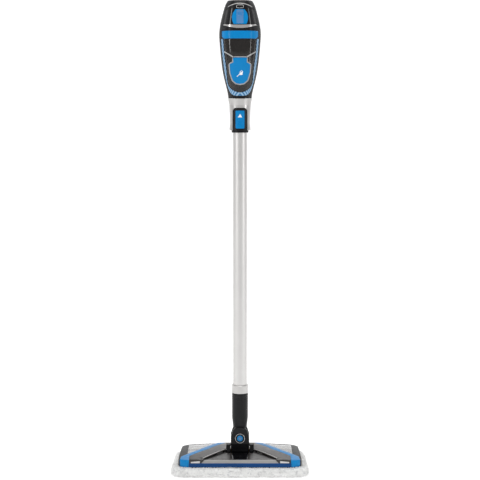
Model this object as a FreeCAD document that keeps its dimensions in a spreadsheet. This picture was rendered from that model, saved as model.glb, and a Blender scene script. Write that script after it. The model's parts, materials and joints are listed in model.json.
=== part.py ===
"""Upright steam mop with a lift-off handheld steamer. Millimetres, +Z up, the front faces -Y.

The origin is on the floor, under the head's pitch axle, at the middle of the pad's underside.
"""
import FreeCAD, Part
import math
import os
import re
import Sketcher
from FreeCAD import Placement, Rotation, Vector

doc = FreeCAD.newDocument("SteamMop")
sheet = doc.addObject("Spreadsheet::Sheet", "Dim")

# ---------------------------------------------------------------- driving sizes
SIZES = {
    # clearances
    "seam": 0.35, "running": 0.05, "slip": 0.2, "air": 0.5,
    # microfibre pad
    "pad_side": 19, "pad_side_rear": 15.5, "pad_ahead": 13, "pad_behind": 11, "pad_height": 22,
    "pad_floor": 9, "pad_corner": 34, "strip_height": 1.5, "strip_width": 14, "strip_in": 38,
    # head shell in plan
    "head_half": 156, "head_taper": 5, "head_front": 84, "head_rear": 80, "head_corner": 22,
    "head_wall": 3, "roof_knee": 96,
    "low_front": 41, "low_mid": 44, "low_rear": 40,
    "side_front": 36, "side_mid": 38, "side_rear": 33,
    "high_front": 43.5, "high_mid": 49, "high_rear": 41.5,
    "high_side_front": 39, "high_side_mid": 42.5, "high_side_rear": 35,
    "well_gap": 1.5, "well_front": 24, "well_rear_in": 17,
    "centre_half_front": 18, "centre_half_rear": 22,
    "arm_tip_in": 65, "arm_tip_back": 7, "arm_root_gap": 1.5, "arm_root_y": 12,
    "trim_half": 10.5, "trim_front_in": 18, "trim_front_back": 30, "trim_mid_in": 62,
    "trim_mid_y": 5, "trim_rear_in": 104, "trim_rear_back": 14, "trim_rear_turn": 4,
    "window_in": 22, "window_back": 9,
    "lip_height": 10, "lip_depth": 6, "lip_in": 28, "lip_out": 2, "lip_chamfer": 2,
    "bevel_in": 59, "bevel_height": 7.5, "bevel_depth": 5, "bevel_lean": 3.6,
    # head base
    "base_inset": 4, "base_height": 13.5, "base_floor": 3, "deck_half": 40, "port_radius": 1.6,
    "manifold_end": 3.4, "manifold_radius": 4.5, "manifold_bore": 3, "manifold_back": 38,
    "tray_height": 2.5,
    # tilting and swivelling joint
    "pitch_rise": 26, "axle_radius": 5, "axle_bore": 2.5, "barrel_radius": 17, "barrel_half": 21.5,
    "post_gap": 3.5, "post_thick": 9, "post_half": 13,
    "bush_wall": 2.5, "bush_length": 9, "bush_rim": 2, "flange_thick": 1.4,
    "swivel_rise": 31, "dome_radius": 28, "dome_gap": 0.8, "plate_outer": 22, "tongue_half": 14,
    "tongue_depth": 11.8, "pin_radius": 4.9, "pin_bore": 2.5, "yoke_half": 23.4,
    "yoke_top_half": 17.6, "yoke_foot_rise": 6, "yoke_waist_rise": 3, "yoke_shoulder_rise": 21,
    "cap_rim": 2.7, "cap_height": 2.2, "cap_chamfer": 0.8, "ring_width": 5.4, "ring_height": 1.2,
    "screw_radius": 1.7, "screw_head": 3.2, "screw_head_height": 2.2, "screw_bite": 9,
    # neck, wand and their collars
    "tube_radius": 17.5, "tube_wall": 1.3, "neck_skin": 2.8, "neck_foot_in": 1.1,
    "neck_wall": 2.5, "neck_taper_low": 17, "neck_taper_high": 50, "neck_length": 115,
    "core_radius": 12.6, "core_length": 71, "core_disc": 8, "coupling_step": 6,
    "coupling_ledge": 8, "coupling_wall": 4, "lower_collar_height": 21, "lower_collar_skin": 3.3,
    "lower_collar_chamfer": 1.2,
    "coupling_length": 16, "pipe_radius": 5, "pipe_wall": 1.5, "spacer_height": 6,
    "tube_exposed": 640, "tube_overlap": 35,
    "snap_rise": 94, "snap_radius": 4.5, "snap_flange": 6, "snap_proud": 2.2, "snap_barrel": 8,
    "snap_length": 9.6, "snap_spring": 3, "snap_coils": 4, "seal_depth": 10, "seal_lap": 5,
    # upper collar and its release latch
    "flange_width": 3.5, "flange_height": 6, "collar_height": 78, "collar_wall": 2.2,
    "collar_foot_out": 9.2, "collar_waist_out": 7.6, "collar_high_out": 8.1, "collar_flare_out": 9.5,
    "collar_top_out": 12.4, "collar_waist_rise": 17, "collar_high_rise": 37,
    "collar_flare_rise": 62, "sleeve_skin": 1.9, "sleeve_top_wall": 4, "sleeve_top_gap": 6,
    "nozzle_radius": 12.4, "nozzle_bore": 3, "nozzle_length": 56, "groove_depth": 1.8,
    "nozzle_flange": 5, "nozzle_lip": 2, "latch_rise": 43, "latch_half": 1.5, "clip_bite": 0.1,
    "clip_wire": 1.1,
    "bezel_half": 18, "bezel_height": 55, "bezel_corner": 9,
    "button_half": 11, "button_low": 4.5, "button_height": 44, "button_corner": 2,
    "button_proud": 1.4, "bezel_proud": 0.6, "wedge_half": 3.2, "release_travel": 2.5,
    "release_coils": 2.5, "spring_wire": 0.45, "spring_gap": 1.6,
    # handheld steamer
    "body_wall": 2.6, "proud": 1.1, "crown_drop": 20,
    "fascia_low_half": 41.5, "fascia_mid_half": 35, "fascia_high_half": 28, "fascia_drop": 60,
    "fascia_mid_drop": 27, "power_half": 19.8, "power_low_half": 16, "power_top_half": 11,
    "power_top_gap": 3, "power_low_gap": 1, "power_travel": 2,
    "band_low": 146, "band_high": 165, "band_half": 44.5, "trim_outer": 4.4, "trim_inner": 9,
    "trim_foot": 7, "trim_band": 8, "window_foot_half": 13,
    "lid_low": 36, "lid_high": 100, "lid_half": 25.5, "lid_neck_half": 16.5, "lid_neck": 12,
    "lid_corner": 3.5, "bezel_rim": 2.8, "arm_reach": 39, "arm_rise": 16,
    "tank_wall": 1.6, "tank_low": 20, "tank_high": 140, "tank_back": 10, "port_bore": 8,
    "plug_depth": 7, "boiler_radius": 14, "boiler_height": 74, "boiler_y": 8, "boiler_neck": 4,
    "pump_radius": 9, "pump_height": 34, "pump_gap": 30, "pump_neck": 4,
    "board_half": 22, "board_height": 42, "board_thick": 1.6,
    "handle_half": 14, "handle_depth": 11, "handle_wall": 2.6, "handle_reach": 84,
    "handle_high": 210, "handle_low": 90, "handle_foot": 40, "handle_root": 12,
    "handle_slope": 7, "handle_bend_high": 22,
    "handle_bend_low": 28, "grip_skin": 0.9, "trigger_half": 7.5,
    "gland_radius": 7, "gland_length": 18, "gland_bore": 3.7, "gland_depth": 14, "gland_rise": 26,
    "lid_hinge": 2, "lid_pin": 0.9, "plug_radius": 6.4, "tank_gap": 1.6, "port_rise": 26,
    "hose_radius": 3, "plunger_length": 7, "switch_height": 4, "switch_half": 3,
    "relay_depth": 12, "relay_width": 16, "driver_depth": 8, "driver_width": 22, "button_rise": 18,
    "trigger_axle": 1.5, "trigger_drop": 21, "trigger_length": 28, "trigger_inset": 6.5,
    "trigger_coils": 5,
}

# Handheld body sections: rise above its foot, half width, depth to the front, depth to the rear.
STATIONS = {
    "foot": (0, 28.9, 27.5, 27),
    "throat": (26, 33.4, 31, 29),
    "hip": (65, 42.4, 38, 32),
    "waist": (104, 47.4, 43, 35),
    "chest": (150, 51.2, 45, 37),
    "shoulder": (182, 48.7, 42, 38),
    "brow": (211, 41.7, 36, 38),
    "rim": (233, 34.2, 30, 35),
    "top": (240, 29.3, 25, 31),
}
for station, values in STATIONS.items():
    for word, value in zip(("rise", "half", "front", "rear"), values):
        SIZES["%s_%s" % (station, word)] = value

# ---------------------------------------------------------------- levels that follow from the sizes
LEVELS = {
    "head_half_rear": "head_half - head_taper",
    "pad_half": "head_half + pad_side",
    "pad_half_rear": "head_half_rear + pad_side_rear",
    "pad_front": "head_front + pad_ahead",
    "pad_rear": "head_rear + pad_behind",
    "strip_half": "head_half - strip_in",
    "barrel_outer": "barrel_half + post_gap",
    "post_outer": "barrel_outer + post_thick",
    "well_half": "post_outer + well_gap",
    "well_rear": "head_rear - well_rear_in",
    "arm_tip_x": "head_half - arm_tip_in",
    "arm_tip_y": "head_front - arm_tip_back",
    "arm_root_x": "well_half + arm_root_gap",
    "trim_front_x": "head_half - trim_front_in",
    "trim_front_y": "head_front - trim_front_back",
    "trim_mid_x": "head_half - trim_mid_in",
    "trim_rear_x": "head_half - trim_rear_in",
    "trim_rear_y": "head_rear - trim_rear_back",
    "window_side": "head_half - window_in",
    "window_rear": "head_rear - window_back",
    "lip_half": "head_half - lip_in",
    "bevel_half": "head_half - bevel_in",
    "manifold_reach": "head_half - base_inset - base_floor - manifold_end",
    "manifold_y": "head_front - manifold_back",
    "manifold_z": "base_z + base_floor + manifold_radius + slip",
    "bush_radius": "axle_radius + bush_wall",
    "bush_flange": "bush_radius + bush_rim",
    "cap_radius": "pin_radius + cap_rim",
    "ring_radius": "cap_radius + ring_width",
    "neck_radius": "tube_radius + neck_skin",
    "neck_foot_radius": "tube_radius - neck_foot_in",
    "lower_collar_radius": "tube_radius + lower_collar_skin",
    "flange_radius": "tube_radius + flange_width",
    "sleeve_radius": "tube_radius + sleeve_skin",
    "sleeve_top_radius": "nozzle_radius + sleeve_top_wall",
    "socket_bore": "nozzle_radius + slip / 2",
    "socket_radius": "tube_radius + slip / 2",
    "clip_radius": "nozzle_radius - clip_bite",
    "base_z": "pad_floor + strip_height",
    "deck_z": "base_z + base_height",
    "pitch_z": "deck_z + pitch_rise",
    "swivel_z": "pitch_z + swivel_rise",
    "slot_z": "swivel_z - tongue_half - air",
    "slot_half": "tongue_depth + air",
    "neck_low_z": "swivel_z + dome_radius + dome_gap",
    "neck_top_z": "swivel_z + neck_length",
    "core_top_z": "swivel_z + core_length",
    "tube_bore": "tube_radius - tube_wall",
    "collar_low_z": "neck_top_z + lower_collar_height",
    "flange_z": "collar_low_z + tube_exposed",
    "collar_z": "flange_z + flange_height",
    "tube_top_z": "collar_z + tube_overlap",
    "foot_z": "collar_z + collar_height",
    "latch_z": "collar_z + latch_rise",
    "nozzle_z": "foot_z - nozzle_length",
    "snap_z": "swivel_z + snap_rise",
    "top_z": "foot_z + top_rise",
    "crown_z": "top_z - crown_drop",
    "fascia_z": "top_z - fascia_drop",
    "fascia_mid_z": "top_z - fascia_mid_drop",
    "band_z": "foot_z + band_low",
    "band_top_z": "foot_z + band_high",
    "lid_z": "foot_z + lid_low",
    "lid_top_z": "foot_z + lid_high",
    "lip_z": "deck_z + lip_height",
    "bevel_z": "lip_z + bevel_height",
    "button_z": "collar_z + button_low",
    "button_mid_z": "fascia_z + button_rise",
    "port_z": "lid_z + port_rise",
    "lid_hinge_z": "lid_top_z - lid_hinge",
    "lid_hinge_y": "-waist_front + body_wall / 2",
    "trigger_z": "foot_z + handle_high - trigger_drop",
    "trigger_y": "handle_reach - trigger_inset",
}


def expand(text):
    """A formula in size names, written as the sheet's references."""
    def swap(match):
        word = match.group()
        if word in LEVELS:
            return "(%s)" % expand(LEVELS[word])
        return "Dim." + word if word in SIZES else word
    return re.sub(r"[a-z_]+", swap, str(text))


def num(text):
    """The value of a formula in size names."""
    return float(sheet.evalExpression(expand(text)))


for row, (alias, value) in enumerate(SIZES.items(), start=1):
    sheet.set("A%d" % row, alias)
    sheet.set("B%d" % row, str(value))
    sheet.setAlias("B%d" % row, alias)
doc.recompute()

# ---------------------------------------------------------------- builders
TURNS = {
    "top": Rotation(),                            # drawn in X and Y, grows along +Z
    "front": Rotation(Vector(1, 0, 0), 90),       # drawn in X and Z, grows along -Y
    "side": Rotation(Vector(1, 1, 1), 120),       # drawn in Y and Z, grows along +X
}
PIECES = []
FAR = 90              # longer than any cutter needs to be
OVERRUN = 6           # how far a cutter passes the surface it cuts
CLIP_SWEEP = 300      # degrees of wire in the latch clip
WIRE_FLATS = 8        # flats round the spring wire


def place(obj, turn="top", at=(0, 0, 0)):
    """Turn an object and bind its position to formulas."""
    obj.Placement = Placement(Vector(*[num(value) for value in at]), TURNS[turn])
    for axis, value in zip("xyz", at):
        obj.setExpression("Placement.Base." + axis, expand(value))
    return obj


def outline(label, points, turn="top", at=(0, 0, 0)):
    """A closed sketch of straight runs whose corners are bound to formulas."""
    sketch = doc.addObject("Sketcher::SketchObject", label)
    draw(sketch, points)
    return place(sketch, turn, at)


def draw(sketch, points):
    corners = [Vector(num(a), num(b), 0) for a, b in points]
    for start, end in zip(corners, corners[1:] + corners[:1]):
        sketch.addGeometry(Part.LineSegment(start, end))
    for index, (corner, point) in enumerate(zip(corners, points)):
        following = (index + 1) % len(corners)
        sketch.addConstraint(Sketcher.Constraint("Coincident", index, 2, following, 1))
        for kind, value, formula in zip(("DistanceX", "DistanceY"), corner, point):
            number = sketch.addConstraint(Sketcher.Constraint(kind, -1, 1, index, 1, value))
            sketch.setExpression("Constraints[%d]" % number, expand(formula))


def mirrored(points):
    """A right-hand run of points, closed by its mirror image across x = 0."""
    left = [("-(%s)" % x, y) for x, y in reversed(points) if x != "0"]
    return list(points) + left


def grown(label, sketch, amount=None, rounding=None):
    """An outline moved outwards by a formula, with its outer corners rounded."""
    if rounding:
        first = doc.addObject("Part::Offset2D", label + "_inner")
        first.Source = sketch
        first.setExpression("Value", expand("-(%s)" % rounding))
        sketch = first
        amount = "%s + %s" % (rounding, amount or 0)
    if amount is None:
        return sketch
    second = doc.addObject("Part::Offset2D", label + "_outline")
    second.Source = sketch
    second.setExpression("Value", expand(amount))
    return second


DIRECTIONS = {"top": Vector(0, 0, 1), "front": Vector(0, -1, 0), "side": Vector(1, 0, 0)}


def prism(label, sketch, length, turn="top"):
    """A solid drawn out of an outline."""
    solid = doc.addObject("Part::Extrusion", label)
    solid.Base = sketch
    solid.DirMode = "Custom"
    solid.Dir = DIRECTIONS[turn]
    solid.setExpression("LengthFwd", expand(length))
    solid.Solid = True
    return solid


def plate(label, points, length, turn="top", at=(0, 0, 0), amount=None, rounding=None):
    """An outline drawn and extruded in one step."""
    sketch = outline(label + "_sketch", points, turn, at)
    return prism(label, grown(label, sketch, amount, rounding), length, turn)


def turned(label, profile, turn="top", at=(0, 0, 0)):
    """A body of revolution: radius and height pairs, round its own Z axis."""
    body = doc.addObject("PartDesign::Body", label)
    plane = [item for item in body.Origin.OriginFeatures if item.Role == "XZ_Plane"][0]
    sketch = body.newObject("Sketcher::SketchObject", label + "_profile")
    sketch.AttachmentSupport = [(plane, "")]
    sketch.MapMode = "FlatFace"
    draw(sketch, profile)
    spin = body.newObject("PartDesign::Revolution", label + "_turn")
    spin.Profile = (sketch, [""])
    spin.ReferenceAxis = (sketch, ["V_Axis"])
    spin.Angle = 360
    return place(body, turn, at)


def rod(label, radius, length, turn="top", at=(0, 0, 0)):
    solid = doc.addObject("Part::Cylinder", label)
    solid.setExpression("Radius", expand(radius))
    solid.setExpression("Height", expand(length))
    return place(solid, turn, at)


def block(label, low, high):
    """A box between two corners given as formulas."""
    solid = doc.addObject("Part::Box", label)
    for side, start, end in zip(("Length", "Width", "Height"), low, high):
        solid.setExpression(side, expand("(%s) - (%s)" % (end, start)))
    return place(solid, "top", low)


def fuse(label, *parts):
    solid = doc.addObject("Part::MultiFuse", label)
    solid.Shapes = list(parts)
    return solid


def cut(label, base, *tools):
    """A solid with each tool taken away in turn."""
    for tool in tools:
        solid = doc.addObject("Part::Cut", label)
        solid.Base = base
        solid.Tool = tool
        base = solid
    return base


def common(label, base, tool):
    solid = doc.addObject("Part::Common", label)
    solid.Base = base
    solid.Tool = tool
    return solid


def group(label, *parts):
    """Separate solids kept as one object."""
    solid = doc.addObject("Part::Compound", label)
    solid.Links = list(parts)
    return solid


def mirror(label, source):
    solid = doc.addObject("Part::Mirroring", label)
    solid.Source = source
    solid.Normal = Vector(1, 0, 0)
    return solid


def solid_from(label, shape):
    solid = doc.addObject("Part::Feature", label)
    solid.Shape = shape
    return solid


def coil(label, radius, wire, length, turns, turn, at):
    """A compression spring."""
    spine = doc.addObject("Part::Helix", label + "_spine")
    spine.setExpression("Radius", expand(radius))
    spine.setExpression("Height", expand(length))
    spine.setExpression("Pitch", expand("(%s) / %s" % (length, turns)))
    section = doc.addObject("Part::RegularPolygon", label + "_section")
    section.Polygon = WIRE_FLATS
    section.setExpression("Circumradius", expand(wire))
    section.Placement = Placement(Vector(num(radius), 0, 0), Rotation(Vector(1, 0, 0), 90))
    section.setExpression("Placement.Base.x", expand(radius))
    sweep = doc.addObject("Part::Sweep", label)
    sweep.Sections = [section]
    sweep.Spine = (spine, ["Edge1"])
    sweep.Solid = True
    sweep.Frenet = True
    return place(sweep, turn, at)


def piece(name, obj):
    """Name an object as a sub-part of its own."""
    obj.Label = name
    PIECES.append(obj)
    return obj


# ---------------------------------------------------------------- head: pad and base
def head_plan(inset):
    """The head's plan, drawn in by a formula, from the front round to the rear."""
    return mirrored([("head_half - (%s)" % inset, "-head_front + (%s)" % inset),
                     ("head_half_rear - (%s)" % inset, "head_rear - (%s)" % inset)])


def make_pad_and_base():
    plan = mirrored([("pad_half", "-pad_front"), ("pad_half_rear", "pad_rear")])
    slab = plate("PadSlab", plan, "pad_height", rounding="pad_corner")
    pocket = plate("PadPocket", head_plan("base_inset - air"), "pad_height",
                   at=(0, 0, "pad_floor"), rounding="head_corner")
    piece("mop_pad", cut("MopPad", slab, pocket))
    strips = []
    for index, y in enumerate(("-head_front * 0.6", "0", "head_rear * 0.6")):
        strips.append(block("HookStrip%d" % index, ("-strip_half", "%s - strip_width / 2" % y, "pad_floor"),
                            ("strip_half", "%s + strip_width / 2" % y, "base_z")))
    piece("hook_strips", group("HookStrips", *strips))

    body = plate("BaseBlock", head_plan("base_inset"), "base_height", at=(0, 0, "base_z"),
                 rounding="head_corner")
    side = [("deck_half", "-head_front + base_inset + base_floor"),
            ("head_half - base_inset - base_floor", "-head_front + base_inset + base_floor"),
            ("head_half_rear - base_inset - base_floor", "head_rear - base_inset - base_floor"),
            ("deck_half", "head_rear - base_inset - base_floor")]
    right = plate("BasePocket", side, "base_height", at=(0, 0, "base_z + base_floor"),
                  rounding="head_corner / 2")
    channel = rod("ManifoldChannel", "manifold_radius + running", "2 * deck_half", "side",
                  ("-deck_half", "-manifold_y", "manifold_z"))
    ports = [rod("SteamPort%d" % index, "port_radius", "base_floor + 2 * air",
                 at=(x, "-manifold_y", "base_z - air"))
             for index, x in enumerate(steam_port_places())]
    piece("head_base", cut("HeadBase", body, right, mirror("BasePocketLeft", right), channel,
                           fuse("SteamPorts", *ports), *hinge_screw_holes()))

    length = "2 * manifold_reach"
    tube = turned("ManifoldTube", [("manifold_bore", "manifold_bore"),
                                   ("manifold_bore", length + " - manifold_bore"),
                                   ("0", length + " - manifold_bore"), ("0", length),
                                   ("manifold_radius", length), ("manifold_radius", "0"),
                                   ("0", "0"), ("0", "manifold_bore")],
                  "side", ("-manifold_reach", "-manifold_y", "manifold_z"))
    jets = [rod("Jet%d" % index, "port_radius / 2", "manifold_radius + air",
                at=(x, "-manifold_y", "manifold_z - manifold_radius - air"))
            for index, x in enumerate(steam_port_places())]
    piece("steam_manifold", cut("SteamManifold", tube, fuse("Jets", *jets)))


def steam_port_places():
    """The steam ports' places along the head, evenly spaced on both sides of the deck."""
    for share in (0.08, 0.29, 0.5, 0.71, 0.92):
        for sign in ("-", ""):
            yield "%s(deck_half + %s * (manifold_reach - deck_half))" % (sign, share)


def hinge_screw_places():
    for x in ("(barrel_outer + post_outer) / 2", "-(barrel_outer + post_outer) / 2"):
        for y in ("post_half - screw_head", "-(post_half - screw_head)"):
            yield x, y


def hinge_screw_holes():
    for index, (x, y) in enumerate(hinge_screw_places()):
        yield rod("ScrewHole%d" % index, "screw_radius + running", "base_height + 2 * air",
                  at=(x, y, "base_z - air"))
        yield rod("ScrewSeat%d" % index, "screw_head + slip", "screw_head_height + air + slip",
                  at=(x, y, "base_z - air"))


# ---------------------------------------------------------------- head: covers
def roof_solid(label, heights, drop, below):
    """The space under a roof that falls from its middle to both ends."""
    front, mid, rear, side_front, side_mid, side_rear = [num(name) - drop for name in heights]
    y_front, y_rear = -num("head_front") - OVERRUN, num("head_rear") + OVERRUN
    floor = num("deck_z") - below
    knee, end = num("roof_knee"), num("head_half") + OVERRUN
    fall = (knee / end) ** 3
    sections = []
    for x, share in ((-end, 1), (-knee, fall), (0, 0), (knee, fall), (end, 1)):
        tops = [high + (low - high) * share
                for high, low in ((front, side_front), (mid, side_mid), (rear, side_rear))]
        ridge = Part.BSplineCurve()
        front_top, rear_top = Vector(x, y_front, tops[0]), Vector(x, y_rear, tops[2])
        front_foot, rear_foot = Vector(x, y_front, floor), Vector(x, y_rear, floor)
        ridge.interpolate([front_top, Vector(x, 0, tops[1]), rear_top])
        sections.append(Part.Wire([ridge.toShape(), Part.makeLine(rear_top, rear_foot),
                                   Part.makeLine(rear_foot, front_foot),
                                   Part.makeLine(front_foot, front_top)]))
    return solid_from(label, Part.makeLoft(sections, True, False))


def roof_shell(label, heights):
    """A head cover of even wall under one roof, over the whole plan."""
    outer = common(label + "_outer", roof_solid(label + "_over", heights, 0, 0),
                   plate(label + "_plan", head_plan("0"), "high_mid + %s" % OVERRUN, rounding="head_corner"))
    inner = common(label + "_inner", roof_solid(label + "_under", heights, num("head_wall"), 1),
                   plate(label + "_plan_inner", head_plan("head_wall"), "high_mid",
                         rounding="head_corner - head_wall"))
    return cut(label, outer, inner)


def make_head_covers():
    low = roof_shell("LowRoof", ("low_front", "low_mid", "low_rear",
                                 "side_front", "side_mid", "side_rear"))
    high = roof_shell("HighRoof", ("high_front", "high_mid", "high_rear",
                                   "high_side_front", "high_side_mid", "high_side_rear"))
    front, rear = "-head_front - %s" % OVERRUN, "head_rear + %s" % OVERRUN
    recess = block("FrontRecess", ("-lip_half - seam", "-head_front - lip_height", "0"),
                   ("lip_half + seam", "-head_front + bevel_depth + seam", "lip_z + seam"))
    bevel_room = plate("BevelRoom", mirrored([("bevel_half + seam", "lip_z"),
                                              ("bevel_half - bevel_height + seam", "bevel_z + seam")]),
                       "lip_depth + lip_height", "front", (0, "-head_front + bevel_depth + seam", 0))
    low = cut("LowShell", low, recess, bevel_room)
    high = cut("HighShell", high, recess, bevel_room)

    def cover(name, base, points, both=False):
        tool = plate("Region_" + name, points, "high_mid + %s" % OVERRUN, amount="-seam / 2")
        solid = common("Cover_" + name, base, tool)
        if not both:
            return piece(name, solid)
        left = mirror("Cover_" + name + "_left", solid)
        if both == "joined":
            return piece(name, group("Pair_" + name, left, solid))
        piece(name + "_left", left)
        return piece(name + "_right", solid)

    cover("center_panel", low, [("-centre_half_front", front), ("centre_half_front", front),
                                ("centre_half_rear", "-well_front"),
                                ("-centre_half_rear", "-well_front")])
    cover("front_panels", low, [("centre_half_front", front), ("arm_tip_x", front),
                                ("arm_tip_x", "-arm_tip_y"), ("arm_root_x", "-arm_root_y"),
                                ("well_half", "-arm_root_y"), ("well_half", "-well_front"),
                                ("centre_half_rear", "-well_front")], "joined")
    trim_in = [("trim_front_x - trim_half", front),
               ("trim_front_x - trim_half", "-trim_front_y"),
               ("trim_mid_x - trim_half", "-trim_mid_y"),
               ("trim_rear_x - trim_half", "trim_rear_y"),
               ("trim_rear_x - trim_half - trim_rear_turn", rear)]
    trim_out = [("trim_front_x + trim_half + trim_rear_turn", front),
                ("trim_front_x + trim_half", "-trim_front_y"),
                ("trim_mid_x + trim_half", "-trim_mid_y"),
                ("trim_rear_x + trim_half", "trim_rear_y"),
                ("trim_rear_x + trim_half - trim_rear_turn", rear)]
    arms = [("well_half", "-arm_root_y"), ("arm_root_x", "-arm_root_y"),
            ("arm_tip_x", "-arm_tip_y"), ("arm_tip_x", front)] + trim_in
    arms += [("-(%s)" % x, y) for x, y in reversed(arms)]
    arms += [("-well_half", "well_rear"), ("well_half", "well_rear")]
    cover("top_cover", high, arms)
    cover("trim_stripes", high, trim_in + trim_out[::-1], "joined")
    slope = "((trim_front_y - trim_mid_y) / (trim_front_x - trim_mid_x))"
    meet_y = "-(trim_front_y - (trim_front_x + trim_half - window_side) * %s)" % slope
    rear_x = "trim_rear_x + trim_half"
    glass = [("window_side", meet_y), ("window_side", "window_rear"), (rear_x, "window_rear"),
             (rear_x, "trim_rear_y"), trim_out[2]]
    cover("windows", low, glass, "joined")
    far = "head_half + %s" % OVERRUN
    cover("end_cap", low, [trim_out[0], trim_out[1], ("window_side", meet_y),
                           ("window_side", "window_rear"), (rear_x, "window_rear"),
                           (rear_x, "trim_rear_y"), trim_out[4], (far, rear), (far, front)], True)

    back = "-head_front + bevel_depth"
    lip = plate("LipSection", [("-head_front - lip_out", "deck_z + seam"),
                               ("-head_front - lip_out", "lip_z - lip_chamfer"),
                               ("-head_front", "lip_z"), (back, "lip_z"), (back, "deck_z + seam")],
                "2 * lip_half", "side", ("-lip_half", 0, 0))
    piece("front_lip", lip)
    bevel = plate("BevelSection", [("-head_front", "lip_z"), ("-head_front + bevel_lean", "bevel_z"),
                                   (back, "bevel_z"), (back, "lip_z")],
                  "2 * bevel_half", "side", ("-bevel_half", 0, 0))
    ends = plate("BevelEnds", mirrored([("bevel_half", "lip_z"),
                                        ("bevel_half - bevel_height", "bevel_z")]),
                 "lip_depth + lip_height", "front", (0, back + " + air", 0))
    piece("front_strip", common("FrontStrip", bevel, ends))

    tray = plate("Tray", glass, "tray_height", at=(0, 0, "deck_z"), amount="-head_wall")
    piece("steam_trays", group("SteamTrays", tray, mirror("TrayLeft", tray)))


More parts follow.
